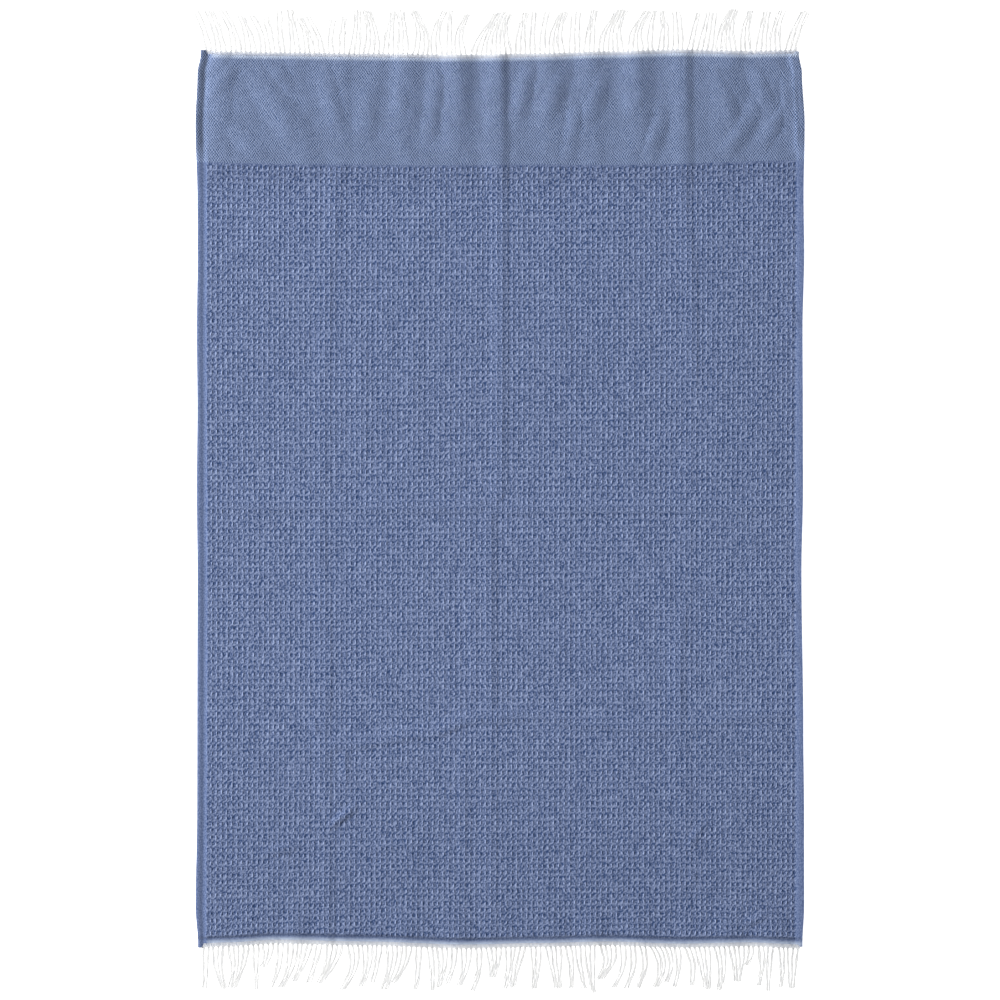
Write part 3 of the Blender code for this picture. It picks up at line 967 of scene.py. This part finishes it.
    def tone(self, across: Array, along: Array) -> Array:
        """The painted light and shade along the selvedges, and darker rows, as a factor on the
        finish's own colour.

        Args:
            across: place across the sheet.
            along: place along it.

        Returns:
            A factor: painted shade along the left selvedge beside a painted light line, painted light
                along the right one, both of them stronger beside the twill band, and darker rows just
                below the band and near the end.
        """
        first = bump(np.clip(along - self.foot_first_rows, 0.0, None) / self.foot_rows)
        last = smooth((along - self.low_from_row) / self.low_over_rows)
        beside_field = 1.0 - self.foot_shade * first * (along > 0) - self.low_shade * last
        beside_band = 1.0
        for rows, from_pits in ((LEFT_PAINTED_SHADING, across), (RIGHT_PAINTED_SHADING, across - WEAVE_COLUMNS)):
            place, by_field, by_band = np.array(rows).T
            beside_field = beside_field * np.interp(from_pits, place, by_field)
            beside_band = beside_band * np.interp(from_pits, place, by_band)
        in_band = smooth(-along / self.band_fade)
        return beside_field + (beside_band - beside_field) * in_band


@dataclass
class Slab:
    """One full-width length of the cloth as a closed mesh."""

    name: str
    cloth: Cloth
    across: Array
    along: Array
    back_step: int = 2

    def build(self, material: bpy.types.Material) -> bpy.types.Object:
        """Makes the slab: its upper side, its underside and the walls around it.

        Args:
            material: the cloth's finish.

        Returns:
            The slab's object.
        """
        shell = Shell()
        across, along = np.meshgrid(self.across, self.along)
        front = self.cloth.top(across, along)
        normals = self.cloth.normals(across, along)
        values = {
            # Painted light and shade along the selvedges, and darker rows, carried to the finishes.
            "tone": self.cloth.tone(across, along),
            "weave": self.cloth.in_field(across, along),
            "from_end": self.cloth.from_end(across, along) / MM,
            "across": across,
            "along": along,
        }
        rows, columns = across.shape
        shell.add_points(front, **values)
        faces = quads(rows, columns)
        places = map_places(rows, columns, 1.0 - MAP_EDGE, 0.20)
        shell.add_faces(faces, normals.reshape(-1, 3)[faces], places[faces])
        step = self.back_step
        back_across, back_along = across[::step, ::step], along[::step, ::step]
        back = self.cloth.under(back_across, back_along)
        start = shell.add_points(back, **{key: v[::step, ::step] for key, v in values.items()})
        back_rows, back_columns = back_across.shape
        faces = quads(back_rows, back_columns)[:, ::-1]
        places = map_places(back_rows, back_columns, 0.18, 0.04)
        shell.add_faces(faces + start, None, places[faces])
        front_number = np.arange(rows * columns).reshape(rows, columns)
        back_number = start + np.arange(back_rows * back_columns).reshape(back_rows, back_columns)
        for k, (front_edge, back_edge) in enumerate(rims(front_number, back_number)):
            faces = wall_faces(front_edge, back_edge, step)
            run = np.linspace(MAP_EDGE, 1.0 - MAP_EDGE, len(back_edge))
            low = np.stack((run, np.full_like(run, MAP_EDGE * (1 + 4 * k))), axis=-1)
            high = low + np.array((0.0, 2.0 * MAP_EDGE))
            between = np.linspace(1.0, 0.0, step + 1)[None, :, None]
            above = high[1:, None] * between + high[:-1, None] * (1.0 - between)
            places = np.concatenate((low[:-1, None], low[1:, None], above), axis=1)
            shell.add_faces(faces, None, places)
        return shell.make(self.name, material)


class FringeSide(Enum):
    """The towel's two fringed ends, each with its way along Y."""

    TOP = 1
    BOTTOM = -1


@dataclass
class Fringe:
    """A heading of bare warp and the locks of yarn that grow out of it, at one end."""

    name: str
    side: FringeSide
    left: float
    right: float
    tufts: tuple[Tuft, ...]
    cloth: Cloth
    seed: int

    heading_gap: float = 0.1 * MM
    heading_depth: float = 8.0 * MM
    farthest_tip: float = 813 * MM
    closest: float = 2.9 * MM
    plies: int = 3
    bared: float = 0.36  # how white the heading is where it leaves the cloth, then where it ends
    bared_at_end: float = 0.86
    heading_thickness: float = 1.35 * MM
    heading_thins: float = 0.75 * MM
    heading_rib: float = 0.12 * MM
    ply_radius: float = 1.3 * MM
    flatness: float = 0.16  # a ply's height, in widths
    fuzz: float = 0.35  # the share of its sides' slope that a fuzzy ply shows
    twist_radius: float = 1.2 * MM
    ply_turn: tuple[float, float] = (3.0, 8.0)  # radians that a lock's plies wind, least and most
    splay: float = 1.3 * MM  # how far plies part at the tips, at most
    tip_cut: float = 1.2 * MM  # how unevenly they are cut
    floor_gap: float = 0.02 * MM
    # Each of a ply's crinkles: its size in millimetres, then its least and its most radians.
    crinkles: tuple[tuple[float, ...], ...] = ((0.45, 5.0, 9.0), (0.25, 12.0, 20.0))
    sections: int = 18
    sides: int = 8

    def end_line(self, x: Array) -> Array:
        """Y of the cloth's end."""
        top = self.side is FringeSide.TOP
        return self.cloth.top_edge(x) if top else self.cloth.bottom_edge(x)

    def lock_lines(self) -> tuple[Array, Array, Array]:
        """The middle line of each lock.

        Returns:
            x and y with a row for each lock, and the shares of its length on the last axis. A
            lock's x is its tuft's middle, plus the lean times the share, plus the bow times
            sin(pi share), and its own place in the tuft, drawn together by the gather.
        """
        share = np.linspace(0.0, 1.0, self.sections)
        count = sum(tuft.locks for tuft in self.tufts)
        pitch = (self.right - self.left) / count
        way = self.side.value
        lines_x, lines_y = [], []
        for tuft in self.tufts:
            middle = self.left + pitch * (len(lines_x) + tuft.locks / 2)
            spacing = pitch + (self.closest - pitch) * tuft.gather * smooth(share)
            centre = middle + tuft.lean * MM * share + tuft.bow * MM * np.sin(np.pi * share)
            for k in range(tuft.locks):
                place = k - (tuft.locks - 1) / 2
                tip = way * (self.farthest_tip - (tuft.short + int(abs(place))) * MM)
                x = centre + spacing * place
                root = self.end_line(x[:1])[0] + way * 0.45 * self.heading_depth
                lines_x.append(x)
                lines_y.append(root + (tip - root) * share)
        return np.array(lines_x), np.array(lines_y), share

    def ply_lines(self) -> tuple[Array, Array]:
        """The middle line of each ply of each lock, and how thick it is along the way.

        Returns:
            Points with the plies on the first axis and the sections on the second, and radii. A
            ply winds about its lock's line, and the plies part a little towards the tips.
        """
        x, y, share = self.lock_lines()
        draw = np.random.default_rng(self.seed)
        locks = len(x)
        shape = (locks, self.plies, 1)
        about = 2.0 * np.pi * np.arange(self.plies)[None, :, None] / self.plies
        turn = draw.uniform(0.0, 2.0 * np.pi, (locks, 1, 1)) + about
        turn = turn + share * draw.uniform(*self.ply_turn, (locks, 1, 1))
        turn = turn + share * draw.normal(0.0, 0.4, shape)
        reach = self.twist_radius * (1.0 + 0.35 * np.sin(draw.uniform(0, 6.3, shape) + 9.0 * share))
        part = np.linspace(-1.0, 1.0, self.plies)[None, :, None]
        splay = draw.uniform(0.0, self.splay, (locks, 1, 1)) * smooth((share - 0.55) / 0.45)
        crinkle = np.zeros((locks, self.plies, self.sections))
        for size, low, high in self.crinkles:
            rate = draw.uniform(low, high, shape)
            crinkle += size * MM * np.sin(rate * share + draw.uniform(0, 6.3, shape))
        ease = smooth(share / 0.15)
        px = x[:, None, :] + reach * np.cos(turn) + part * splay + crinkle * ease
        py = np.broadcast_to(y[:, None, :], px.shape) + 0.0
        py = py - self.side.value * np.abs(draw.normal(0.0, self.tip_cut, shape)) * share
        radius = self.ply_radius * (1.0 - 0.25 * share) * draw.uniform(0.85, 1.1, shape)
        radius = radius * (0.35 + 0.65 * smooth(share / 0.12))
        root_z = self.cloth.lift(px[..., :1], py[..., :1]) * (1.0 - smooth(share / 0.3))
        pz = root_z + self.flatness * radius + self.floor_gap
        pz = pz + self.flatness * reach * (1.0 + np.sin(turn)) * 0.4
        lines = np.stack((px, py, pz), axis=-1).reshape(-1, self.sections, 3)
        return lines, radius.reshape(-1, self.sections)

    def add_plies(self, shell: Shell) -> None:
        """Adds every ply as a tube: a ring of points about its line at each section.

        Args:
            shell: the piece that they join.
        """
        lines, radii = self.ply_lines()
        number, sections, _ = lines.shape
        along = np.gradient(lines, axis=1)
        along /= np.linalg.norm(along, axis=-1, keepdims=True)
        aside = np.cross(along, np.array((0.0, 0.0, 1.0)))
        aside /= np.linalg.norm(aside, axis=-1, keepdims=True)
        up = np.cross(aside, along)
        angle = np.linspace(0.0, 2.0 * np.pi, self.sides, endpoint=False)
        aside = aside[:, :, None, :] * np.cos(angle)[None, None, :, None]
        up = up[:, :, None, :] * np.sin(angle)[None, None, :, None]
        points = lines[:, :, None, :] + radii[:, :, None, None] * (aside + self.flatness * up)
        share = np.linspace(0.0, 1.0, sections)[None, :, None]
        out = np.broadcast_to(0.62 + 3.6 * share, points.shape[:-1])
        start = shell.add_points(points, out=np.clip(out, 0.0, 1.0), loose=1.0)
        index = start + np.arange(points.size // 3).reshape(number, sections, self.sides)
        following = np.roll(index, -1, axis=2)
        faces = np.stack((index[:, :-1], index[:, 1:], following[:, 1:], following[:, :-1]), axis=-1)
        normal = (self.fuzz * self.flatness * aside + up).reshape(-1, 3)
        normal /= np.linalg.norm(normal, axis=-1, keepdims=True)
        faces = faces.reshape(-1, 4)
        corner = faces - start
        ply = corner // (sections * self.sides)
        level = corner // self.sides % sections
        about = corner % self.sides
        about = np.where((about == 0) & (np.arange(4) >= 2), self.sides, about)
        map_across = (ply + 0.05 + 0.9 * about / self.sides) / number
        map_along = 0.22 + 0.76 * level / (sections - 1)
        shell.add_faces(faces, normal[corner], np.stack((map_across, map_along), axis=-1))
        for level_index, order in ((0, 1), (-1, -1)):
            cap = index[:, level_index, ::order]
            spot = (np.arange(number) + 0.5) / number
            places = np.stack(
                np.broadcast_arrays(spot[:, None], np.full((1, self.sides), 0.985)), axis=-1
            )
            shell.add_faces(cap, None, places)

    def add_heading(self, shell: Shell) -> None:
        """Adds the strip of bare warp between the cloth's end and the locks.

        Args:
            shell: the piece that it joins.
        """
        way = self.side.value
        count = sum(tuft.locks for tuft in self.tufts)
        stations = np.linspace(self.left, self.right, count * 4 + 1)
        share = np.linspace(0.0, 1.0, 7)
        x, t = np.meshgrid(stations, share)
        rib = swell((x - self.left) / (self.right - self.left) * count)
        depth = self.heading_depth * (0.8 + 0.2 * rib)
        y = self.end_line(x) + way * (self.heading_gap + depth * t)
        lift = self.cloth.lift(x, self.end_line(x))
        thick = self.heading_thickness - self.heading_thins * t + self.heading_rib * rib * (0.3 + t)
        above = np.stack((x, y, lift + thick), axis=-1)
        below = np.stack((x, y, lift), axis=-1)
        if way > 0:
            above, below, t = above[::-1], below[::-1], t[::-1]
        rows, columns = t.shape
        faces = quads(rows, columns)
        slope = np.gradient(above, axis=0), np.gradient(above, axis=1)
        normals = np.cross(slope[0], slope[1])
        normals /= np.linalg.norm(normals, axis=-1, keepdims=True)
        places = map_places(rows, columns, 0.16, 0.09)
        out = self.bared + (self.bared_at_end - self.bared) * t
        first = shell.add_points(above, out=out, loose=0.0)
        shell.add_faces(faces + first, normals.reshape(-1, 3)[faces], places[faces])
        second = shell.add_points(below, out=out, loose=0.0)
        turned = faces[:, ::-1]
        shell.add_faces(turned + second, None, places[turned] - np.array((0.0, 0.08)))
        upper = first + np.arange(rows * columns).reshape(rows, columns)
        lower = second + np.arange(rows * columns).reshape(rows, columns)
        for front_edge, back_edge in rims(upper, lower):
            faces = wall_faces(front_edge, back_edge, 1)
            corners = np.array(((0.0, 0.19), (1.0, 0.19), (1.0, 0.2), (0.0, 0.2)))
            shell.add_faces(faces, None, np.broadcast_to(corners, (len(faces), 4, 2)))

    def build(self, material: bpy.types.Material) -> bpy.types.Object:
        """Makes the fringe.

        Args:
            material: the yarn's finish.

        Returns:
            The fringe's object.
        """
        shell = Shell()
        self.add_heading(shell)
        self.add_plies(shell)
        return shell.make(self.name, material)


@dataclass(frozen=True)
class Signal:
    """A node's output that can be reckoned with like a number: each step adds a node."""

    desk: "NodeDesk"
    socket: bpy.types.NodeSocket

    def __add__(self, other: "Signal | float") -> "Signal":
        """The sum."""
        return self.desk.math("ADD", self, other)

    def __sub__(self, other: "Signal | float") -> "Signal":
        """The difference."""
        return self.desk.math("SUBTRACT", self, other)

    def __rsub__(self, other: float) -> "Signal":
        """A number less the signal."""
        return self.desk.math("SUBTRACT", other, self)

    def __mul__(self, other: "Signal | float") -> "Signal":
        """The product."""
        return self.desk.math("MULTIPLY", self, other)


class NodeDesk:
    """A new material and short ways to add nodes to it."""

    def __init__(self, name: str) -> None:
        """Starts a material with the standard surface."""
        self.material = bpy.data.materials.new(name)
        self.material.use_nodes = True
        self.tree = self.material.node_tree
        self.surface = self.tree.nodes["Principled BSDF"]

    def feed(self, node: bpy.types.Node, inputs: dict) -> None:
        """Sets a node's inputs, by a link where the value is a signal."""
        for key, value in inputs.items():
            if isinstance(value, Signal):
                self.tree.links.new(value.socket, node.inputs[key])
            else:
                node.inputs[key].default_value = value

    def add(self, kind: str, inputs: dict, **settings: object) -> list[Signal]:
        """Adds a node.

        Args:
            kind: the node's type, without the leading ShaderNode.
            inputs: values or signals for its inputs, by name or number.
            settings: the node's own settings.

        Returns:
            Its outputs.
        """
        node = self.tree.nodes.new("ShaderNode" + kind)
        for key, value in settings.items():
            setattr(node, key, value)
        self.feed(node, inputs)
        return [Signal(self, socket) for socket in node.outputs]

    def attribute(self, name: str) -> Signal:
        """A value that the mesh carries at each of its points."""
        _, _, value, _ = self.add("Attribute", {}, attribute_name=name)
        return value

    def coordinates(self) -> Signal:
        """Object coordinates, in metres."""
        return self.add("TexCoord", {})[3]

    def noise(self, place: Signal, grain: float, low: float, high: float,
              stretch: tuple[float, float, float] = (1.0, 1.0, 1.0), detail: float = 2.0,
              turn: float = 0.0) -> Signal:
        """Soft noise brought to a range.

        Args:
            place: where the noise is read.
            grain: the size of its spots.
            low: the value that dark spots get.
            high: the value that light spots get.
            stretch: how much longer its spots are along each of their own axes.
            detail: layers of finer noise on top.
            turn: how far those axes are turned about Z, in radians.

        Returns:
            The value.
        """
        axes = {"Vector": place, "Scale": stretch, "Rotation": (0.0, 0.0, turn)}
        moved = self.add("Mapping", axes, vector_type="TEXTURE")[0]
        look = {"Vector": moved, "Scale": 1.0 / grain, "Detail": detail, "Roughness": 0.6}
        spots = self.add("TexNoise", look)[0]
        return self.add("MapRange", {0: spots, 1: 0.3, 2: 0.7, 3: low, 4: high})[0]

    def math(self, operation: str, *values: float | Signal) -> Signal:
        """One step of arithmetic."""
        return self.add("Math", dict(enumerate(values)), operation=operation)[0]

    def bump(self, offset: Signal, half: float) -> Signal:
        """A soft ridge: 1 in its middle, and 0 from an offset of its half width on."""
        share = self.math("DIVIDE", offset, half)
        return self.math("POWER", self.math("MAXIMUM", 1.0 - share * share, 0.0), 2.0)

    def wrapped(self, value: Signal, middle: float) -> Signal:
        """How far a value lies past the nearest of the places middle, middle + 1 and so on."""
        return self.math("WRAP", value - middle, 0.5, -0.5)

    def wave(self, place: Signal, turns: tuple[float, float], shift: Signal) -> Signal:
        """The sine of a phase that grows by these turns for each metre of X and Y.

        Args:
            place: where it is read.
            turns: turns for each metre across and along.
            shift: what is added to the phase.

        Returns:
            The sine, from -1 to 1.
        """
        rate = (2.0 * np.pi * turns[0], 2.0 * np.pi * turns[1], 0.0)
        _, phase = self.add("VectorMath", {0: place, 1: rate}, operation="DOT_PRODUCT")
        return self.math("SINE", phase + shift)

    def mix(self, share: Signal, first: tuple | Signal, second: tuple) -> Signal:
        """One colour going over into another."""
        return self.add("Mix", {"Factor": share, 6: first, 7: second}, data_type="RGBA")[2]

    def scaled(self, colour: Signal, factor: Signal) -> Signal:
        """A colour made lighter or darker."""
        return self.add("VectorMath", {0: colour, "Scale": factor}, operation="SCALE")[0]

    def bare(self, colour: Signal, reach: float = 7.5, most: float = 0.46) -> Signal:
        """A cloth's colour with half dyed warp showing through at its ends.

        Args:
            colour: the cloth's own colour.
            reach: how far in from the end the warp shows, in millimetres.
            most: the warp's share at the end.

        Returns:
            The mixed colour, patchy, and the cloth's own in the left selvedge.
        """
        ends = {0: self.attribute("from_end"), 1: reach, 2: 0.0, 3: 0.0, 4: most}
        ramp = self.add("MapRange", ends, interpolation_type="SMOOTHSTEP")[0]
        patchy = self.noise(self.coordinates(), 9 * MM, 0.75, 1.25)
        side = {0: self.attribute("across"), 1: 0.0, 2: 0.5, 3: 0.0, 4: 1.0}
        inner = self.add("MapRange", side)[0]
        return self.mix(ramp * patchy * inner, colour, WARP_PALE)

    def finish(self, colour: Signal, height: Signal, depth: float, roughness: float,
               sheen: float) -> bpy.types.Material:
        """Joins colour and relief to the surface.

        Args:
            colour: the yarn's colour.
            height: the fine relief, from 0 to 1.
            depth: what a height of 1 stands for, in metres.
            roughness: the surface's roughness.
            sheen: the strength of its soft sheen.

        Returns:
            The material.
        """
        relief = self.add("Bump", {"Height": height, "Distance": depth, "Strength": 1.0})[0]
        look = {"Base Color": colour, "Normal": relief, "Roughness": roughness}
        self.feed(self.surface, look | {"Sheen Weight": sheen, "Sheen Roughness": 0.6})
        self.feed(self.surface, {"Specular IOR Level": 0.15})
        return self.material


@dataclass(frozen=True)
class WaffleFinish:
    """Blue cotton in waffle weave: short pale warp floats, weft floats, deep pits between, and
    painted highlight and shade on the floats.
    """

    deep: tuple[float, ...] = (0.020, 0.045, 0.128, 1.0)
    pale: tuple[float, ...] = (0.215, 0.265, 0.420, 1.0)
    relief: float = 0.8 * MM
    roughness: float = 0.92
    sheen: float = 0.08

    # The cell, in cells: the warp float's place and half sizes, how far its painted highlight stands
    # aside, then the weft floats' slant, and the places and half widths of their ridge, the painted
    # highlight on their upper side and the painted shade line below them, then the half width of the
    # warp float's painted highlight.
    float_at: tuple[float, float] = (0.055, 0.68)
    float_half: tuple[float, float] = (0.20, 0.40)
    highlight_aside: float = -0.10
    slant: float = 0.41
    weft_ridge: tuple[float, float] = (0.52, 0.45)
    weft_highlight: tuple[float, float] = (0.085, 0.20)
    weft_shade_line: tuple[float, float] = (0.469, 0.265)
    highlight_half: float = 0.176

    # How far each part of the cell pales or darkens the yarn, from the yarn's own share of pale: the
    # warp floats' paler yarn with painted highlight on their lit left flank, painted highlight on the
    # weft floats' upper side, and painted shade below them.
    base: float = 0.371
    highlight_pales: float = 0.43
    weft_highlight_pales: float = 0.25
    shade_line_darkens: float = 0.13
    yarn_varies: float = 0.38

    stray: tuple[float, float] = (0.32, 0.36)  # how far the cells stray, in cells
    lean: float = 0.5  # how far the floats lean and stand aside, in cells
    side: float = 0.1
    strength: tuple[float, float] = (0.8, 1.24)  # the weakest float and the strongest
    shaded_row_place: tuple[float, float] = (9.3, 3.8)  # the last row's painted shade: its middle and half width, in millimetres from the end
    last_row_painted_shade: float = 0.26

    def make(self) -> bpy.types.Material:
        """The material: each float lit and shaded by its shape and by painted highlight and shade,
        over mottled yarn.
        """
        desk = NodeDesk("waffle_cotton")
        place = desk.coordinates()
        weave = desk.attribute("weave")
        numbers = desk.attribute("across"), desk.attribute("along")
        spot = desk.add("CombineXYZ", dict(enumerate(numbers)))[0]
        _, wobble = desk.add("TexNoise", {"Vector": spot, "Scale": 1.5, "Detail": 1.0})
        strays = desk.add("SeparateXYZ", {0: wobble})
        a, b = (
            desk.math("MULTIPLY_ADD", stray, most, number - most / 2)
            for stray, most, number in zip(strays, self.stray, numbers)
        )
        aside = desk.wrapped(a, self.float_at[0])
        below = desk.wrapped(b, self.float_at[1])
        cell = desk.add("CombineXYZ", {0: a - aside, 1: b - below})[0]
        _, chance = desk.add("TexWhiteNoise", {"Vector": cell}, noise_dimensions="2D")
        first, second, third = desk.add("SeparateXYZ", {0: chance})
        aside = aside + ((first - 0.6) * below * self.lean + (second - 0.5) * self.side)
        weakest, strongest = self.strength
        strength = third * (strongest - weakest) + weakest
        length = desk.bump(below, self.float_half[1]) * strength
        crest = desk.bump(aside, self.float_half[0]) * length
        # Painted highlight on each warp float's lit left flank, over the float's own paler yarn.
        painted_highlight = desk.bump(aside - self.highlight_aside, self.highlight_half)
        past = desk.math("FRACT", a - self.float_at[0])
        slanted = (past - 0.5) * self.slant + b
        # A ridge along the weft floats, painted highlight on their upper side and a painted shade
        # line below them.
        ridge, upper, painted_shade_line = (
            desk.bump(desk.wrapped(slanted, middle), half)
            for middle, half in (self.weft_ridge, self.weft_highlight, self.weft_shade_line)
        )
        pattern = painted_highlight * length * self.highlight_pales + upper * self.weft_highlight_pales
        pattern = (pattern - painted_shade_line * self.shade_line_darkens) * weave
        most = self.yarn_varies
        yarn = desk.noise(place, YARN_GRAIN, -most, most, (1.0, 1.9, 1.0), 0.0, STROKE_TURN)
        yarn = yarn * (weave * 0.5 + 0.5)
        colour = desk.mix(pattern + self.base + yarn, self.deep, self.pale)
        shade = desk.noise(place, 24 * MM, 0.97, 1.03, (1.0, 2.5, 1.0))
        # Painted shade along the last row before the end.
        last_at, last_half = self.shaded_row_place
        last = desk.bump(desk.attribute("from_end") - last_at, last_half)
        last = 1.0 - last * self.last_row_painted_shade
        # The colour is scaled by painted light and shade along the selvedges, darker rows, random
        # cloud and the last row's painted shade.
        colour = desk.bare(desk.scaled(colour, desk.attribute("tone") * shade * last))
        height = desk.math("MAXIMUM", crest, ridge * 0.2) * weave + yarn * 0.2
        return desk.finish(colour, height, self.relief, self.roughness, self.sheen)


@dataclass(frozen=True)
class TwillFinish:
    """The same cotton in a fine steep twill, white weft showing through the blue."""

    deep: tuple[float, ...] = (0.018, 0.046, 0.124, 1.0)
    pale: tuple[float, ...] = (0.226, 0.280, 0.424, 1.0)
    wale_across: float = 4.24 * MM
    wale_along: float = 5.53 * MM
    relief: float = 0.5 * MM
    roughness: float = 0.9
    sheen: float = 0.08

    base: float = 0.53  # the yarn's share of pale where no wale runs, and how far it varies
    yarn_varies: float = 0.16
    bend: float = 2.4  # how far the wales stray from straight, in radians
    wale_strength: tuple[float, float] = (0.12, 0.52)  # the faintest wale and the boldest
    crossing_strength: tuple[float, float] = (0.04, 0.40)

    def make(self) -> bpy.types.Material:
        """The material: diagonal wales in two blues, crossed by fainter ones."""
        desk = NodeDesk("twill_cotton")
        place = desk.coordinates()
        bend = desk.noise(place, 20 * MM, -self.bend, self.bend)
        other_bend = desk.noise(place, 18 * MM, -self.bend, self.bend)
        wales = desk.wave(place, (1.0 / self.wale_across, 1.0 / self.wale_along), bend)
        crossing = desk.wave(place, (1.0 / self.wale_across, -1.0 / self.wale_along), other_bend)
        wales = wales * desk.noise(place, 10 * MM, *self.wale_strength)
        crossing = crossing * desk.noise(place, 9 * MM, *self.crossing_strength)
        most = self.yarn_varies
        yarn = desk.noise(place, YARN_GRAIN, -most, most, (1.0, 1.6, 1.0), 0.0, STROKE_TURN)
        share = wales + crossing + (yarn + self.base)
        cloud = desk.noise(place, 20 * MM, 0.92, 1.08, (1.0, 1.7, 1.0))
        colour = desk.mix(share, self.deep, self.pale)
        # The colour is scaled by painted light and shade along the selvedges, darker rows and random
        # cloud.
        colour = desk.bare(desk.scaled(colour, desk.attribute("tone") * cloud))
        return desk.finish(colour, share, self.relief, self.roughness, self.sheen)


@dataclass(frozen=True)
class YarnFinish:
    """Undyed warp yarn: blue where it leaves the cloth, white a little way outside it."""

    blue: tuple[float, ...] = (0.118, 0.165, 0.290, 1.0)
    soft: float = 2.0 * MM  # how far light spreads in the heading
    relief: float = 0.05 * MM
    roughness: float = 0.95
    sheen: float = 0.1
    streak: float = 0.14  # how unevenly the blue gives way to white
    mottle: tuple[float, float] = (0.92, 1.08)

    def make(self) -> bpy.types.Material:
        """The material: blue to white by the way out, with the yarn's twist as fine relief."""
        desk = NodeDesk("warp_yarn")
        place = desk.coordinates()
        streak = desk.noise(place, YARN_GRAIN, -self.streak, self.streak, (1.0, 5.0, 1.0))
        colour = desk.mix(desk.attribute("out") + streak, self.blue, WARP_WHITE)
        mottle = desk.noise(place, 2.0 * MM, *self.mottle, (1.0, 4.0, 1.0))
        colour = desk.scaled(colour, mottle)
        fibre = desk.noise(place, 0.35 * MM, 0.0, 1.0, (1.0, 4.0, 1.0))
        held = 1.0 - desk.attribute("loose")
        spread = {"Subsurface Weight": held, "Subsurface Scale": self.soft}
        desk.feed(desk.surface, {**spread, "Subsurface Radius": (1.0, 1.0, 1.0)})
        return desk.finish(colour, fibre, self.relief, self.roughness, self.sheen)


@dataclass(frozen=True)
class Studio:
    """The camera straight above, one wide soft light from the left, pale fill and a white floor."""

    frame_width: float = 1000 * PIXEL
    camera_height: float = 12.0
    sensor: float = 36.0
    key_place: tuple[float, float, float] = (-13.1, 4.8, 6.3)
    key_size: float = 3.0
    key_power: float = 5200.0
    fill: float = 0.38
    floor_size: float = 24.0
    floor_gap: float = 0.05 * MM
    floor_white: tuple[float, ...] = (0.9, 0.9, 0.9, 1.0)
    floor_glow: float = 0.85

    def build(self) -> None:
        """Sets up camera, light, fill and floor."""
        scene = bpy.context.scene
        scene.view_settings.view_transform = "Standard"
        camera = bpy.data.cameras.new("camera")
        camera.sensor_width = self.sensor
        camera.lens = self.sensor * self.camera_height / self.frame_width
        camera.clip_end = 100.0
        eye = bpy.data.objects.new("camera", camera)
        eye.location = (-PIXEL, 0.5 * PIXEL, self.camera_height)
        scene.collection.objects.link(eye)
        scene.camera = eye
        key = bpy.data.lights.new("key", "AREA")
        key.shape = "DISK"
        key.size = self.key_size
        key.energy = self.key_power
        lamp = bpy.data.objects.new("key", key)
        lamp.location = self.key_place
        lamp.rotation_euler = (-Vector(self.key_place)).to_track_quat("-Z", "Y").to_euler()
        scene.collection.objects.link(lamp)
        world = bpy.data.worlds.new("studio")
        world.use_nodes = True
        background = world.node_tree.nodes["Background"].inputs
        background["Color"].default_value = WHITE
        background["Strength"].default_value = self.fill
        scene.world = world
        self.build_floor()

    def build_floor(self) -> None:
        """A white plane just under the towel, lit a little from below like a light table."""
        half = self.floor_size / 2
        mesh = bpy.data.meshes.new("floor")
        corners = [(-half, -half), (half, -half), (half, half), (-half, half)]
        mesh.from_pydata([(x, y, -self.floor_gap) for x, y in corners], [], [(0, 1, 2, 3)])
        floor = bpy.data.objects.new("floor", mesh)
        bpy.context.scene.collection.objects.link(floor)
        desk = NodeDesk("white_floor")
        desk.feed(
            desk.surface,
            {
                "Base Color": self.floor_white,
                "Roughness": 0.9,
                "Emission Color": WHITE,
                "Emission Strength": self.floor_glow,
            },
        )
        mesh.materials.append(desk.material)


@dataclass
class Towel:
    """The whole towel: the twill band, the waffle field in slabs, and two fringes."""

    cloth: Cloth = field(default_factory=Cloth)

    def stations(self, step: float) -> Array:
        """Places across the sheet: the left selvedge, the columns at this step, the right one."""
        columns = np.arange(0.0, WEAVE_COLUMNS + step / 2, step)
        return np.concatenate((LEFT_STATIONS, columns, WEAVE_COLUMNS + np.array(RIGHT_STATIONS)))

    def build(self) -> None:
        """Builds and places every piece."""
        waffle = WaffleFinish().make()
        twill = TwillFinish().make()
        yarn = YarnFinish().make()
        top = Fringe("fringe_top_yarns", FringeSide.TOP, -490 * MM, 489 * MM, TOP_TUFTS,
                     self.cloth, 31).build(yarn)
        bottom = Fringe("fringe_bottom_yarns", FringeSide.BOTTOM, -495 * MM, 494 * MM,
                        BOTTOM_TUFTS, self.cloth, 32, bared=0.6).build(yarn)
        for piece, node in ((top, "fringe_top"), (bottom, "fringe_bottom")):
            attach(piece, "root")
            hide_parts(node)
        band = Slab("twill_band", self.cloth, self.stations(0.5), np.linspace(-1.0, 0.0, 61))
        self.lay(band.build(twill), 0.999, 0.180, [top])
        cuts = np.round(np.linspace(0, WEAVE_ROWS, SLABS + 1)).astype(int)
        for k, (first, last) in enumerate(zip(cuts, cuts[1:])):
            along = np.arange(first, last + 0.1, 0.25)
            if last == WEAVE_ROWS:
                along = np.concatenate((along, WEAVE_ROWS + np.arange(1, 7) / 6))
            slab = Slab(f"waffle_field_{k + 1}", self.cloth, self.stations(0.25), along)
            length = float(last - first) * self.cloth.pitch_along
            self.lay(slab.build(waffle), 0.998, length, [bottom] if last == WEAVE_ROWS else [])

    @staticmethod
    def lay(piece: bpy.types.Object, width: float, length: float, ends: list) -> None:
        """Attaches a slab to the root body and hides the model's cloth part.

        Args:
            piece: the slab.
            width: its flat width; not used.
            length: its flat length; not used.
            ends: the fringe that hangs on it, if any; not used.
        """
        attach(piece, "root")
        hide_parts("cloth")


def main() -> None:
    """Builds the studio and the towel."""
    logging.basicConfig(level=logging.INFO, format="%(message)s")
    Studio().build()
    Towel().build()


if __name__ == "__main__":
    main()
